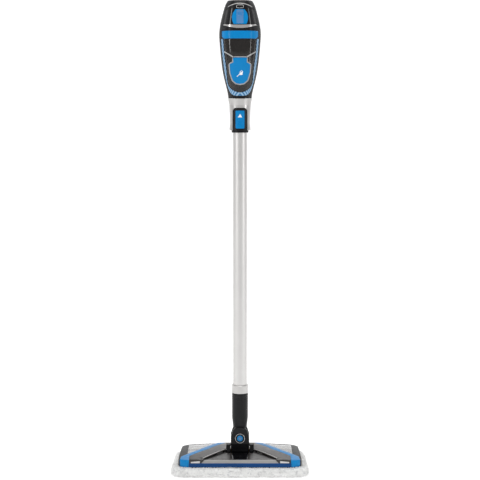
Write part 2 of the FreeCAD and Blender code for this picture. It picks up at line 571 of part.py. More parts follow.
# ---------------------------------------------------------------- tilting and swivelling joint
def make_joint():
    post = [("-post_half", "deck_z"), ("post_half", "deck_z"), ("post_half", "pitch_z - axle_radius"),
            ("axle_radius", "pitch_z + 2 * axle_radius"), ("-axle_radius", "pitch_z + 2 * axle_radius"),
            ("-post_half", "pitch_z - axle_radius")]
    right = plate("Post", post, "post_outer - barrel_outer", "side", ("barrel_outer", 0, 0))
    bore = rod("PostBore", "axle_radius", "2 * post_outer + 2 * air", "side",
               ("-post_outer - air", 0, "pitch_z"))
    pilots = [rod("Pilot%d" % index, "screw_radius", "screw_bite + 3 * air", at=(x, y, "deck_z - air"))
              for index, (x, y) in enumerate(hinge_screw_places())]
    posts = group("Posts", right, mirror("PostLeft", right))
    piece("trunnion_blocks", cut("TrunnionBlocks", posts, bore, *pilots))
    screws = []
    for index, (x, y) in enumerate(hinge_screw_places()):
        top = "base_height + screw_bite - slip"
        screws.append(turned("HingeScrew%d" % index,
                             [("0", "0"), ("screw_head", "0"), ("screw_head", "screw_head_height"),
                              ("screw_radius", "screw_head_height"), ("screw_radius", top), ("0", top)],
                             at=(x, y, "base_z + slip")))
    piece("hinge_screws", group("HingeScrews", *screws))
    length = "2 * post_outer"
    axle = turned("PitchAxle", [("axle_bore", "0"), ("axle_radius", "0"), ("axle_radius", length),
                                ("axle_bore", length)], "side", ("-post_outer", 0, "pitch_z"))
    piece("pitch_axle", axle)

    lump = plate("YokeSide", [("-barrel_radius", "pitch_z"), ("barrel_radius", "pitch_z"),
                              ("plate_outer", "slot_z"), ("plate_outer", "swivel_z + dome_radius"),
                              ("-plate_outer", "swivel_z + dome_radius"), ("-plate_outer", "slot_z")],
                 "2 * yoke_half", "side", ("-yoke_half", 0, 0))
    face = plate("YokeFront", mirrored([("barrel_half", "pitch_z"),
                                        ("yoke_half", "pitch_z + yoke_foot_rise"),
                                        ("yoke_half", "swivel_z + yoke_waist_rise"),
                                        ("yoke_top_half", "swivel_z + yoke_shoulder_rise"),
                                        ("yoke_top_half", "swivel_z + dome_radius")]),
                 "2 * plate_outer", "front", (0, "plate_outer", 0))
    dome = fuse("YokeDome", rod("DomeRound", "dome_radius", "2 * plate_outer", "front",
                                (0, "plate_outer", "swivel_z")),
                block("DomeRoot", ("-yoke_half", "-plate_outer", "pitch_z"),
                      ("yoke_half", "plate_outer", "swivel_z")))
    head = common("YokeHead", common("YokeBlank", lump, face), dome)
    barrel = rod("Barrel", "barrel_radius", "2 * barrel_half", "side", ("-barrel_half", 0, "pitch_z"))
    rings = rod("CapRing", "ring_radius", "2 * plate_outer + 2 * ring_height", "front",
                (0, "plate_outer + ring_height", "swivel_z"))
    slot = block("YokeSlot", ("-yoke_half - air", "-slot_half", "slot_z"),
                 ("yoke_half + air", "slot_half", "neck_low_z"))
    room = [slot,
            rod("YokePinBore", "pin_radius", "2 * ring_radius + 2 * plate_outer", "front",
                (0, "plate_outer + ring_radius", "swivel_z")),
            rod("BarrelBore", "axle_radius + running", "2 * barrel_half + 2 * air", "side",
                ("-barrel_half - air", 0, "pitch_z")),
            rod("YokeSteamWay", "pin_bore", "slot_z - pitch_z + air", at=(0, 0, "pitch_z")),
            rod("CapSeatFront", "cap_radius + slip", "ring_height + air", "front",
                (0, "-plate_outer", "swivel_z")),
            rod("CapSeatRear", "cap_radius + slip", "ring_height + air", "front",
                (0, "plate_outer + ring_height + air", "swivel_z"))]
    for side, seat_x, flange_x in (("Left", "-barrel_half - air", "-barrel_half - yoke_half"),
                                   ("Right", "barrel_half - bush_length", "barrel_half")):
        room.append(rod("BushSeat" + side, "bush_radius", "bush_length + air", "side",
                        (seat_x, 0, "pitch_z")))
        room.append(rod("FlangeSeat" + side, "bush_flange + slip", "yoke_half", "side",
                        (flange_x, 0, "pitch_z")))
    piece("yoke", cut("Yoke", fuse("YokeSolid", head, barrel, rings), *room))
    pin = turned("SwivelPin", [("0", "0"), ("pin_radius", "0"), ("pin_radius", "2 * plate_outer"),
                               ("0", "2 * plate_outer")],
                 "front", (0, "plate_outer", "swivel_z"))
    way = rod("PinSteamWay", "pin_bore", "2 * pin_radius + 2 * air",
              at=(0, 0, "swivel_z - pin_radius - air"))
    piece("swivel_pin", cut("SwivelPinBored", pin, way))
    front_cap = turned("PivotCapFront", [("0", "0"), ("cap_radius", "0"),
                                         ("cap_radius", "cap_height - cap_chamfer"),
                                         ("cap_radius - cap_chamfer", "cap_height"),
                                         ("0", "cap_height")],
                       "front", (0, "-plate_outer", "swivel_z"))
    rear_cap = turned("PivotCapRear", [("0", "0"), ("cap_radius - cap_chamfer", "0"),
                                       ("cap_radius", "cap_chamfer"), ("cap_radius", "cap_height"),
                                       ("0", "cap_height")],
                      "front", (0, "plate_outer + cap_height", "swivel_z"))
    piece("pivot_caps", group("PivotCaps", front_cap, rear_cap))
    profile = [("axle_radius + running", "0"), ("bush_radius", "0"), ("bush_radius", "bush_length"),
               ("bush_flange", "bush_length"), ("bush_flange", "bush_length + flange_thick"),
               ("axle_radius + running", "bush_length + flange_thick")]
    right = turned("BushRight", profile, "side", ("barrel_half - bush_length", 0, "pitch_z"))
    piece("axle_bushes", group("AxleBushes", right, mirror("BushLeft", right)))


# ---------------------------------------------------------------- neck and wand
def make_wand():
    inner = "(neck_radius - neck_wall)"
    low, high = "(swivel_z + neck_taper_low)", "(swivel_z + neck_taper_high)"
    shell = turned("NeckShell", [("neck_foot_radius - neck_wall", low), ("neck_foot_radius", low),
                                 ("neck_radius", high), ("neck_radius", "neck_top_z"),
                                 ("socket_radius", "neck_top_z"), ("socket_radius", "core_top_z"),
                                 (inner, "core_top_z - 2 * air"), (inner, high)])
    snap_hole = rod("NeckSnapHole", "snap_radius + slip", "neck_radius + snap_length", "front",
                    (0, "neck_radius + snap_length", "snap_z"))
    piece("neck_housing", cut("NeckHousing", shell, swing_room("Neck"), snap_hole))

    stem = common("TongueStem", block("TongueBar", ("-tongue_half", "-tongue_depth", "swivel_z"),
                                      ("tongue_half", "tongue_depth", "neck_low_z + 4 * air")),
                  rod("TongueRound", "neck_foot_radius - neck_wall - slip", "2 * dome_radius",
                      at=(0, 0, "swivel_z")))
    tongue = fuse("Tongue", rod("TongueEnd", "tongue_half", "2 * tongue_depth", "front",
                                (0, "tongue_depth", "swivel_z")), stem)
    post = cut("CorePost", rod("CoreRound", "core_radius", "core_top_z - neck_low_z",
                               at=(0, 0, "neck_low_z")), swing_room("Core"))
    disc = rod("CoreDisc", inner, "core_disc", at=(0, 0, "core_top_z - core_disc - 2 * air"))
    pin_bore = rod("CorePinBore", "pin_radius + running", "2 * tongue_depth + 2 * air", "front",
                   (0, "tongue_depth + air", "swivel_z"))
    steam_way = rod("CoreSteamWay", "pin_bore", "core_length + air", at=(0, 0, "swivel_z"))
    piece("neck_core", cut("NeckCore", fuse("CoreSolid", tongue, post, disc), pin_bore, steam_way))
    rim = "lower_collar_radius"
    piece("lower_collar", turned("LowerCollar", [("socket_radius", "neck_top_z"), (rim, "neck_top_z"),
                                                 (rim, "collar_low_z - lower_collar_chamfer"),
                                                 (rim + " - lower_collar_chamfer", "collar_low_z"),
                                                 ("socket_radius", "collar_low_z")]))
    bore, outside = "pipe_radius + running", "pipe_radius + coupling_wall"
    ledge, top = "core_top_z + coupling_ledge", "core_top_z + coupling_length"
    piece("steam_coupling", turned("SteamCoupling", [("pin_bore", "core_top_z"),
                                                     ("tube_bore - slip", "core_top_z"),
                                                     ("tube_bore - slip", "core_top_z + coupling_step"),
                                                     (outside, ledge), (outside, top), (bore, top),
                                                     (bore, ledge), ("pin_bore", ledge)]))
    tube = turned("TubeBlank", [("tube_bore", "core_top_z"), ("tube_radius", "core_top_z"),
                                ("tube_radius", "tube_top_z"), ("tube_bore", "tube_top_z")])
    tube_hole = rod("TubeSnapHole", "snap_radius + slip", "neck_radius", "front",
                    (0, "neck_radius", "snap_z"))
    piece("wand_tube", cut("WandTube", tube, tube_hole))
    pipe_top = "(nozzle_z - seal_lap)"
    piece("steam_pipe", turned("SteamPipe", [("pipe_radius - pipe_wall", ledge),
                                             ("pipe_radius", ledge), ("pipe_radius", pipe_top),
                                             ("pipe_radius - pipe_wall", pipe_top)]))
    spacers = []
    for index, share in enumerate((0.1, 0.5, 0.9)):
        z = "collar_low_z + tube_exposed * %s" % share
        spacers.append(turned("Spacer%d" % index, [(bore, z), ("tube_bore - running", z),
                                                   ("tube_bore - running", z + " + spacer_height"),
                                                   (bore, z + " + spacer_height")]))
    piece("pipe_spacers", group("PipeSpacers", *spacers))
    foot, mouth = "nozzle_z - seal_depth", "nozzle_z - air"
    piece("socket_seal", turned("SocketSeal", [(bore, foot), ("tube_bore - running", foot),
                                               ("tube_bore - running", mouth), ("nozzle_bore", mouth),
                                               ("nozzle_bore", pipe_top), (bore, pipe_top)]))
    piece("wand_lock_button",
          turned("WandLockButton", [("0", "0"), ("snap_radius - 1", "0"), ("snap_radius", "1"),
                                    ("snap_radius", "snap_barrel"), ("snap_flange", "snap_barrel"),
                                    ("snap_flange", "snap_length"), ("0", "snap_length")],
                 "front", (0, "neck_radius + snap_proud", "snap_z")))
    behind = "neck_radius + snap_proud - snap_length"
    piece("wand_lock_spring", coil("WandLockSpring", "snap_spring", "spring_wire",
                                   behind + " - pipe_radius - 2 * air - 3 * spring_wire",
                                   "snap_coils", "front", (0, behind + " - air", "snap_z")))


def swing_room(name):
    """The round space that the yoke's dome turns in."""
    return rod(name + "Swing", "dome_radius + dome_gap", "4 * plate_outer", "front",
               (0, "2 * plate_outer", "swivel_z"))


# ---------------------------------------------------------------- upper collar and release latch
COLLAR = [("tube_radius + collar_foot_out", "collar_z"),
          ("tube_radius + collar_waist_out", "collar_z + collar_waist_rise"),
          ("tube_radius + collar_high_out", "collar_z + collar_high_rise"),
          ("tube_radius + collar_flare_out", "collar_z + collar_flare_rise"),
          ("tube_radius + collar_top_out", "foot_z")]


def collar_ring(label, out, inward):
    """The front half of a ring that follows the collar's outer profile, above its foot's seam."""
    outer = [("%s + %s" % (radius, out), z) for radius, z in COLLAR]
    inner = [("%s - (%s)" % (radius, inward), z) for radius, z in reversed(COLLAR)]
    ring = turned(label + "_ring", outer + inner)
    front = block(label + "_front", (-FAR, -FAR, "collar_z + seam"), (FAR, 0, "foot_z"))
    return common(label, ring, front)


def arch(grow):
    """The release bezel's outline, open onto the collar's foot."""
    half = "bezel_half + (%s)" % grow
    return mirrored([(half, "collar_z - %s" % OVERRUN), (half, "collar_z + bezel_height + (%s)" % grow)])


def collar_plate(label, points, amount=None, rounding=None):
    """A cutter through the collar's front."""
    return plate(label, points, "2 * sleeve_radius", "front", (0, "-sleeve_radius / 2", 0),
                 amount, rounding)


def make_collar():
    sleeve_step = "(tube_top_z + 2 * air)"
    top = "(foot_z - sleeve_top_gap)"
    sleeve = turned("SleeveBlank", [("socket_radius", "flange_z"), ("flange_radius", "flange_z"),
                                    ("flange_radius", "collar_z"), ("sleeve_radius", "collar_z"),
                                    ("sleeve_radius", sleeve_step),
                                    ("sleeve_top_radius", sleeve_step),
                                    ("sleeve_top_radius", top), ("socket_bore", top),
                                    ("socket_bore", "tube_top_z"), ("socket_radius", "tube_top_z")])
    groove = rod("ClipGroove", "clip_radius + clip_wire + air", "2 * latch_half",
                 at=(0, 0, "latch_z - latch_half"))
    way = block("WedgeWay", ("-wedge_half - slip", "-sleeve_radius - air", "latch_z - latch_half"),
                ("wedge_half + slip", "-nozzle_radius / 2", "latch_z + latch_half"))
    piece("socket_sleeve", cut("SocketSleeve", sleeve, groove, way))

    inside = [("%s - collar_wall" % radius, z) for radius, z in reversed(COLLAR[1:-1])]
    mouth = "sleeve_top_radius - 4 * air"
    shell = turned("CollarShell",
                   [("sleeve_radius", "collar_z")] + COLLAR
                   + [(mouth, "foot_z"), (mouth, "foot_z - collar_wall"),
                      (COLLAR[-1][0] + " - collar_wall", "foot_z - collar_wall")] + inside
                   + [(COLLAR[0][0] + " - collar_wall", "collar_z + collar_wall"),
                      ("sleeve_radius", "collar_z + collar_wall")])
    window = collar_plate("CollarWindow", arch("seam"), rounding="bezel_corner")
    sleeve_keep = rod("SleeveKeep", "sleeve_radius + running", FAR, at=(0, 0, "flange_z"))
    piece("upper_collar", cut("UpperCollar", shell, cut("CollarWindowFront", window, sleeve_keep)))

    button = [("-button_half", "button_z"), ("button_half", "button_z"),
              ("button_half", "button_z + button_height"), ("-button_half", "button_z + button_height")]
    bezel = common("BezelBlank", collar_ring("BezelRing", "bezel_proud", "collar_wall"),
                   collar_plate("BezelArch", arch("0"), rounding="bezel_corner"))
    hole = collar_plate("BezelHole", button, "seam", "button_corner")
    piece("button_bezel", cut("ButtonBezel", bezel, hole))
    face = common("ButtonFace", collar_ring("ButtonRing", "button_proud", "collar_wall - 2 * slip"),
                  collar_plate("ButtonPrism", button, None, "button_corner"))
    wedge = block("Wedge", ("-wedge_half", "-tube_radius - collar_waist_out",
                            "latch_z - latch_half + slip"),
                  ("wedge_half", "-nozzle_radius - release_travel - air",
                   "latch_z + latch_half - slip"))
    piece("release_button", fuse("ReleaseButton", face, wedge))
    stack = "tube_radius + collar_waist_out - collar_wall - sleeve_top_radius"
    piece("release_spring", coil("ReleaseSpring", "wedge_half + spring_gap", "spring_wire",
                                 stack + " - 2 * spring_wire - 2 * slip", "release_coils", "front",
                                 (0, "-sleeve_top_radius - spring_wire - slip", "latch_z")))
    clip = doc.addObject("Part::Torus", "LatchClip")
    clip.setExpression("Radius1", expand("clip_radius"))
    clip.setExpression("Radius2", expand("clip_wire"))
    clip.Angle3 = CLIP_SWEEP
    clip.Placement = Placement(Vector(0, 0, num("latch_z")),
                               Rotation(Vector(0, 0, 1), CLIP_SWEEP / 2 + 150))
    clip.setExpression("Placement.Base.z", expand("latch_z"))
    piece("latch_clip", clip)


# ---------------------------------------------------------------- handheld body
def body_section(name, grow, z):
    """One closed section of the handheld body in two edges, round behind and flat in front."""
    half, front, rear = [num("%s_%s" % (name, word)) + grow for word in ("half", "front", "rear")]
    behind = [(0.93 * half, 0.45 * rear), (0.6 * half, 0.9 * rear)]
    ahead = [(half, -0.05 * front), (0.8 * half, -0.55 * front), (0.5 * half, -0.93 * front),
             (0.3 * half, -0.99 * front)]
    points = behind + [(0, rear)] + [(-x, y) for x, y in reversed(behind)]
    points += [(-x, y) for x, y in ahead] + [(0, -front)] + list(reversed(ahead))
    curve = Part.BSplineCurve()
    curve.interpolate([Vector(x, y, z) for x, y in points], PeriodicFlag=True)
    meet = curve.parameter(Vector(-behind[0][0], behind[0][1], z))
    return Part.Wire([curve.toShape(curve.FirstParameter, meet), curve.toShape(meet, curve.LastParameter)])


def body_solid(grow, below=0):
    """The handheld's outer form, grown or shrunk all round."""
    sections = []
    for name in STATIONS:
        z = num("foot_z + %s_rise" % name)
        if name == "foot":
            z += num("seam") - below
        if name in ("rim", "top"):
            z += grow
        sections.append(body_section(name, grow, z))
    return Part.makeLoft(sections, True, False)


def body_skin(label, outward, inward):
    """A skin of the handheld from an outer to an inner offset."""
    return solid_from(label, body_solid(outward).cut(body_solid(-inward, 2)))


def trim_prism(label, margin, foot_half, foot_rise):
    """The space inside the side trim's edge: down one side, round the foot and up the other."""
    levels = [("chest", "band_z + %s" % OVERRUN)]
    levels += [(name, "foot_z + %s_rise" % name) for name in ("waist", "hip", "throat")]
    points = [Vector(num("%s_half - %s" % (name, margin)), 0, num(z)) for name, z in levels]
    points.append(Vector(num(foot_half), 0, num("foot_z + %s + 3" % foot_rise)))
    middle = Vector(0, 0, num("foot_z + " + foot_rise))
    points += [middle] + [Vector(-p.x, 0, p.z) for p in reversed(points)]
    curve = Part.BSplineCurve()
    curve.interpolate(points)
    face = Part.Face(Part.Wire([curve.toShape(), Part.makeLine(points[-1], points[0])]))
    return solid_from(label, face.extrude(Vector(0, -FAR, 0)))


LID = mirrored([("0", "lid_z"), ("10", "lid_z + 2"), ("18", "lid_z + 9"),
                ("lid_half - 1.5", "lid_z + 28"),
                ("lid_half", "lid_top_z - lid_neck - 4"), ("lid_neck_half", "lid_top_z - lid_neck"),
                ("lid_neck_half", "lid_top_z")])
FASCIA = mirrored([("fascia_low_half", "fascia_z"), ("fascia_mid_half", "fascia_mid_z"),
                   ("fascia_high_half", "crown_z")])
POWER = mirrored([("power_low_half", "fascia_z + power_low_gap"), ("power_half - 1", "fascia_z + 9"),
                  ("power_half", "button_mid_z"), ("power_half - 2.5", "fascia_z + 28"),
                  ("power_top_half", "crown_z - power_top_gap")])
BAND = mirrored([("band_half - 5", "band_z"), ("band_half", "band_z + 5"), ("band_half", "band_top_z")])


def front_plate(label, points, amount=None, rounding=None):
    return plate(label, points, FAR, "front", amount=amount, rounding=rounding)


def make_front():
    """The skin's front, split into fascia, band, trim, window and tank lid."""
    skin = body_skin("Skin", 0, num("body_wall"))
    proud = body_skin("ProudSkin", num("proud"), num("body_wall - proud"))
    raised = body_skin("RaisedSkin", 2 * num("proud"), num("body_wall - proud"))
    outer_trim = trim_prism("TrimOuter", "trim_outer", "window_foot_half + 6", "trim_foot")
    inner_trim = trim_prism("TrimInner", "trim_inner", "window_foot_half", "(trim_foot + trim_band)")
    below_band = block("BelowBand", (-FAR, -FAR, "foot_z"), (FAR, 0, "band_z - seam"))
    band_room = front_plate("BandRoom", BAND, "seam")

    trim = cut("TrimRegion", common("TrimBelowBand", outer_trim, below_band), inner_trim, band_room)
    piece("side_trim", common("SideTrim", proud, trim))
    band = front_plate("BandRegion", BAND, "-seam / 2")
    piece("accent_band", common("AccentBand", proud, band))
    power_room = front_plate("PowerRoom", POWER, "seam", "lid_corner")
    fascia = front_plate("FasciaRegion", FASCIA, "-seam", "lid_corner")
    piece("control_fascia", common("ControlFascia", skin, cut("FasciaZone", fascia, power_room)))

    stem = rod("PowerStem", "3", "plunger_length + body_wall", "front",
               (0, "-brow_front + plunger_length", "button_mid_z"))
    face = common("PowerFace", raised, front_plate("PowerRegion", POWER, None, "lid_corner"))
    piece("power_button", fuse("PowerButton", face, stem))

    lid_room = front_plate("LidRoom", LID, "seam", "lid_corner")
    frame = [front_plate("BezelOuter", LID, "bezel_rim", "lid_corner")]
    for side, sign in (("Right", ""), ("Left", "-")):
        arm = [(sign + "lid_neck_half", "lid_top_z - 1"), (sign + "(arm_reach + 5)", "lid_top_z + arm_rise"),
               (sign + "(arm_reach + 5)", "lid_top_z + arm_rise + 3"),
               (sign + "lid_neck_half", "lid_top_z + bezel_rim")]
        frame.append(front_plate("BezelArm" + side, arm))
    frame = fuse("BezelFrame", *frame)
    hinge_room = rod("LidHingeRoom", "lid_hinge + proud", "2 * lid_neck_half + 2 * seam", "side",
                     ("-lid_neck_half - seam", "lid_hinge_y", "lid_hinge_z"))
    pin_room = rod("LidPinRoom", "lid_pin + running", "2 * lid_neck_half + 2 * bezel_rim", "side",
                   ("-lid_neck_half - bezel_rim", "lid_hinge_y", "lid_hinge_z"))
    inside = cut("InsideTrim", common("GlassZone", inner_trim, below_band), band_room)
    bezel = common("BezelBlank", body_skin("BezelSkin", num("proud") / 2, num("body_wall")),
                   common("BezelZone", frame, inside))
    piece("cap_bezel", cut("CapBezel", bezel, lid_room, hinge_room, pin_room))
    window = common("WindowBlank", skin, inside)
    piece("tank_window", cut("TankWindow", window, frame, lid_room))

    lid = common("LidFace", proud, front_plate("LidRegion", LID, None, "lid_corner"))
    plug = rod("LidPlug", "plug_radius", "plug_depth", "front",
               (0, "-hip_front + plug_depth + 0.8", "port_z"))
    pin = rod("LidPin", "lid_pin", "2 * lid_neck_half + bezel_rim", "side",
              ("-lid_neck_half - bezel_rim / 2", "lid_hinge_y", "lid_hinge_z"))
    piece("tank_cap", fuse("TankCap", lid, plug, pin))
    seal_y = "-hip_front + body_wall + tank_gap + tank_wall + 1"
    piece("cap_seal", turned("CapSeal", [("plug_radius", "0"), ("port_bore - running", "0"),
                                         ("port_bore - running", "1.8"), ("plug_radius", "1.8")],
                             "front", (0, seal_y, "port_z")))
    return skin, outer_trim, below_band


# ---------------------------------------------------------------- handle
def rounded_path(points, radii):
    """Straight runs joined by tangent arcs."""
    edges, start = [], points[0]
    for before, corner, after, radius in zip(points, points[1:], points[2:], radii):
        back, ahead = (before - corner).normalize(), (after - corner).normalize()
        half = back.getAngle(ahead) / 2
        leave, join = corner + back * (radius / math.tan(half)), corner + ahead * (radius / math.tan(half))
        middle = corner + (back + ahead).normalize() * (radius / math.sin(half) - radius)
        edges += [Part.makeLine(start, leave), Part.Arc(leave, middle, join).toShape()]
        start = join
    edges.append(Part.makeLine(start, points[-1]))
    return Part.Wire(edges)


def handle_solid(label, grow):
    """The loop handle's bar, from inside the body's top round to inside its foot."""
    reach, foot = num("handle_reach"), num("foot_z")
    inner_y = num("handle_root")
    path = rounded_path([Vector(0, inner_y, foot + num("handle_high + handle_slope")),
                         Vector(0, reach, foot + num("handle_high")),
                         Vector(0, reach, foot + num("handle_low")),
                         Vector(0, inner_y, foot + num("handle_foot"))],
                        [num("handle_bend_high"), num("handle_bend_low")])
    tangent = path.Edges[0].tangentAt(path.Edges[0].FirstParameter)
    oval = Part.Ellipse(Vector(), num("handle_half") + grow, num("handle_depth") + grow)
    section = Part.Wire([oval.toShape()])
    section.Placement = Placement(path.Vertexes[0].Point,
                                  Rotation(Vector(1, 0, 0), Vector(0, tangent.z, -tangent.y),
                                           tangent, "ZXY"))
    return solid_from(label, path.makePipeShell([section], True, False))


def make_handle():
    bar = handle_solid("HandleBar", 0)
    shell = cut("HandleShell", bar, handle_solid("HandleHollow", -num("handle_wall")),
                solid_from("BodyInside", body_solid(-num("body_wall"), 2)))
    low, high = "trigger_z - trigger_length - 4", "trigger_z + 5"
    slot = block("TriggerSlot", ("-trigger_half - air", "handle_reach - handle_depth - 9", low),
                 ("trigger_half + air", "handle_reach - 2", high))
    axle_room = rod("TriggerAxleRoom", "trigger_axle + running", "2 * handle_half", "side",
                    ("-handle_half", "trigger_y", "trigger_z"))
    shell = cut("HandleSlotted", shell, slot, axle_room)
    for side, low_x, high_x in (("left", (-FAR), "-seam / 4"), ("right", "seam / 4", FAR)):
        half = block("HandleSide_" + side, (low_x, 0, "foot_z"), (high_x, 2 * FAR, "top_z"))
        piece("handle_" + side, common("Handle_" + side, shell, half))
    sleeve = cut("GripSleeve", handle_solid("GripOuter", num("grip_skin")), bar)
    zone = block("GripZone", (-FAR, "handle_reach", "foot_z + handle_low + handle_bend_low / 2"),
                 (FAR, 2 * FAR, "foot_z + handle_high - handle_bend_high"))
    piece("handle_grip", common("HandleGrip", sleeve, zone))

    back = "handle_reach - 4"
    lever = plate("TriggerLever", [(back, "trigger_z + 2.5"), ("trigger_y - 5", "trigger_z + 3"),
                                   ("handle_reach - handle_depth - 6", "trigger_z - 12"),
                                   ("handle_reach - handle_depth - 5", "trigger_z - trigger_length + 3"),
                                   ("handle_reach - handle_depth", "trigger_z - trigger_length"),
                                   (back, "trigger_z - trigger_length + 2")],
                  "2 * trigger_half", "side", ("-trigger_half", 0, 0), rounding="1.5")
    axle = rod("TriggerAxle", "trigger_axle", "2 * trigger_half + 5", "side",
               ("-trigger_half - 2.5", "trigger_y", "trigger_z"))
    piece("trigger", fuse("Trigger", lever, axle))
    wall = "handle_reach + handle_depth - handle_wall"
    piece("trigger_spring", coil("TriggerSpring", "snap_spring", "spring_wire",
                                 "handle_depth - handle_wall + 4 - 3 * spring_wire",
                                 "trigger_coils", "front",
                                 (0, wall + " - 1.5 * spring_wire", "trigger_z - trigger_length + 8")))
    return bar


# ---------------------------------------------------------------- handheld casing and what it holds
def make_casing(skin, outer_trim, below_band, bar):
    gland_hole = rod("GlandHole", "gland_radius", FAR, "front", (0, FAR, "foot_z + gland_rise"))
    crown_room = block("CrownZone", (-FAR, -FAR, "crown_z"), (FAR, FAR, "top_z + 9"))
    piece("crown", cut("Crown", common("CrownSkin", skin, crown_room), bar))
    rear = block("RearZone", (-FAR, "seam / 2", "foot_z"), (FAR, FAR, "crown_z - seam"))
    piece("rear_housing", cut("RearHousing", common("RearSkin", skin, rear), bar, gland_hole))
    front = block("FrontZone", (-FAR, -FAR, "foot_z"), (FAR, "-seam / 2", "crown_z - seam"))
    openings = [front_plate("FasciaRoom", FASCIA), front_plate("BandHole", BAND),
                common("TrimHole", outer_trim, below_band)]
    piece("front_housing", cut("FrontHousing", common("FrontSkin", skin, front), *openings))

    length = "(gland_length + body_wall + 1)"
    mouth = "throat_rear + gland_length - 2"
    piece("cord_gland", turned("CordGland", [("gland_bore", "0"), ("gland_radius - 2", "0"),
                                             ("gland_radius - 2", "2"), ("gland_radius", "gland_depth"),
                                             ("gland_radius", length), ("0", length),
                                             ("0", "gland_depth"), ("gland_bore", "gland_depth")],
                               "front", (0, mouth, "foot_z + gland_rise")))


def make_insides():
    shrink = num("body_wall + tank_gap")
    low = ("-chest_half", "-chest_front", "foot_z + tank_low")
    zone = block("TankZone", low, ("chest_half", "-tank_back", "foot_z + tank_high"))
    hollow_zone = block("TankHollowZone", ("-chest_half", "-chest_front", "foot_z + tank_low + tank_wall"),
                        ("chest_half", "-tank_back - tank_wall", "foot_z + tank_high - tank_wall"))
    outer = common("TankOuter", solid_from("TankForm", body_solid(-shrink)), zone)
    tank_form = solid_from("TankHollowForm", body_solid(-shrink - num("tank_wall")))
    hollow = common("TankHollow", tank_form, hollow_zone)
    port = rod("FillPort", "port_bore", "hip_front / 2", "front", (0, "-hip_front / 2", "port_z"))
    outlet = rod("TankOutlet", "hose_radius", "tank_wall + 2", "front",
                 (0, "-tank_back + 1", "foot_z + tank_low + 8"))
    piece("water_tank", cut("WaterTank", outer, hollow, port, outlet))

    ledge = "(latch_half + slip)"
    neck = "nozzle_radius - groove_depth"
    flange = "foot_front - body_wall - 2 * air"
    rise, lip = "foot_z + seam", "nozzle_bore + nozzle_lip"
    piece("steam_nozzle", turned("SteamNozzle", [("nozzle_bore", "nozzle_z"),
                                                 ("nozzle_radius - 1", "nozzle_z"),
                                                 ("nozzle_radius", "nozzle_z + 1"),
                                                 ("nozzle_radius", "latch_z - " + ledge),
                                                 (neck, "latch_z - " + ledge),
                                                 (neck, "latch_z + " + ledge),
                                                 ("nozzle_radius", "latch_z + " + ledge),
                                                 ("nozzle_radius", rise), (flange, rise),
                                                 (flange, rise + " + nozzle_flange"),
                                                 (lip, rise + " + nozzle_flange"),
                                                 (lip, rise + " + 2 * nozzle_flange"),
                                                 ("nozzle_bore", rise + " + 2 * nozzle_flange")]))
    base = "foot_z + seam + 2 * nozzle_flange + slip"
    spout = "hose_radius + 2"
    piece("boiler", turned("Boiler", [("0", "0"), ("boiler_radius", "0"),
                                      ("boiler_radius", "boiler_height"), (spout, "boiler_height"),
                                      (spout, "boiler_height + boiler_neck"),
                                      ("0", "boiler_height + boiler_neck")],
                           at=(0, "boiler_y", base)))
    pump_z = "foot_z + boiler_height + pump_gap"
    shaft = "pump_radius - pump_neck"
    piece("pump", turned("Pump", [("0", "0"), (shaft, "0"), (shaft, "pump_neck"),
                                  ("pump_radius", "pump_neck"),
                                  ("pump_radius", "pump_height - pump_neck"),
                                  (shaft, "pump_height - pump_neck"), (shaft, "pump_height"),
                                  ("0", "pump_height")],
                         at=(0, "boiler_y", pump_z)))
    supply = rod("SupplyHose", "hose_radius", "boiler_y + tank_back - boiler_radius - 2 * slip",
                 "front", (0, "boiler_y - boiler_radius - slip", "foot_z + tank_low + 8"))
    outlet_z = base + " + boiler_height + boiler_neck"
    feed = rod("FeedHose", "hose_radius", "%s - (%s)" % (pump_z, outlet_z),
               at=(0, "boiler_y", outlet_z))
    piece("water_hoses", group("WaterHoses", supply, feed))

    face_y = "-brow_front + plunger_length + power_travel + switch_height + seam"
    back_y = face_y + " + board_thick"
    low_z = "button_mid_z - board_height / 2"
    board = block("Board", ("-board_half", face_y, low_z),
                  ("board_half", back_y, low_z + " + board_height"))
    switch = block("Switch", ("-switch_half", face_y + " - switch_height", "button_mid_z - switch_half"),
                   ("switch_half", face_y, "button_mid_z + switch_half"))
    relay = block("Relay", ("switch_half", back_y, low_z + " + 4"),
                  ("board_half - 5", back_y + " + relay_depth", low_z + " + 4 + relay_width"))
    driver = block("Driver", ("-board_half + 6", back_y, low_z + " + 8"),
                   ("-switch_half - 2", back_y + " + driver_depth", low_z + " + 8 + driver_width"))
    piece("control_board", fuse("ControlBoard", board, switch, relay, driver))


def check_and_export():
    """Build everything, refuse a failed object or a bad shape, and write each sub-part."""
    doc.recompute()
    for obj in doc.Objects:
        if "Invalid" in obj.State or "Error" in obj.State:
            raise RuntimeError("failed object: %s %s" % (obj.Label, obj.State))
    os.makedirs("parts", exist_ok=True)
    for obj in PIECES:
        shape = obj.Shape
        if shape.isNull() or not shape.isValid() or not shape.Solids:
            raise RuntimeError("bad shape: " + obj.Label)
        shape.exportStep("parts/%s.step" % obj.Label)


make_pad_and_base()
make_head_covers()
make_joint()
make_wand()
make_collar()
skin_shell, trim_space, under_band = make_front()
handle_bar = make_handle()
make_casing(skin_shell, trim_space, under_band, handle_bar)
make_insides()
check_and_export()
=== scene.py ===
import json
import math
import random

import bpy
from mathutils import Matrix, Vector, noise
from mathutils.bvhtree import BVHTree


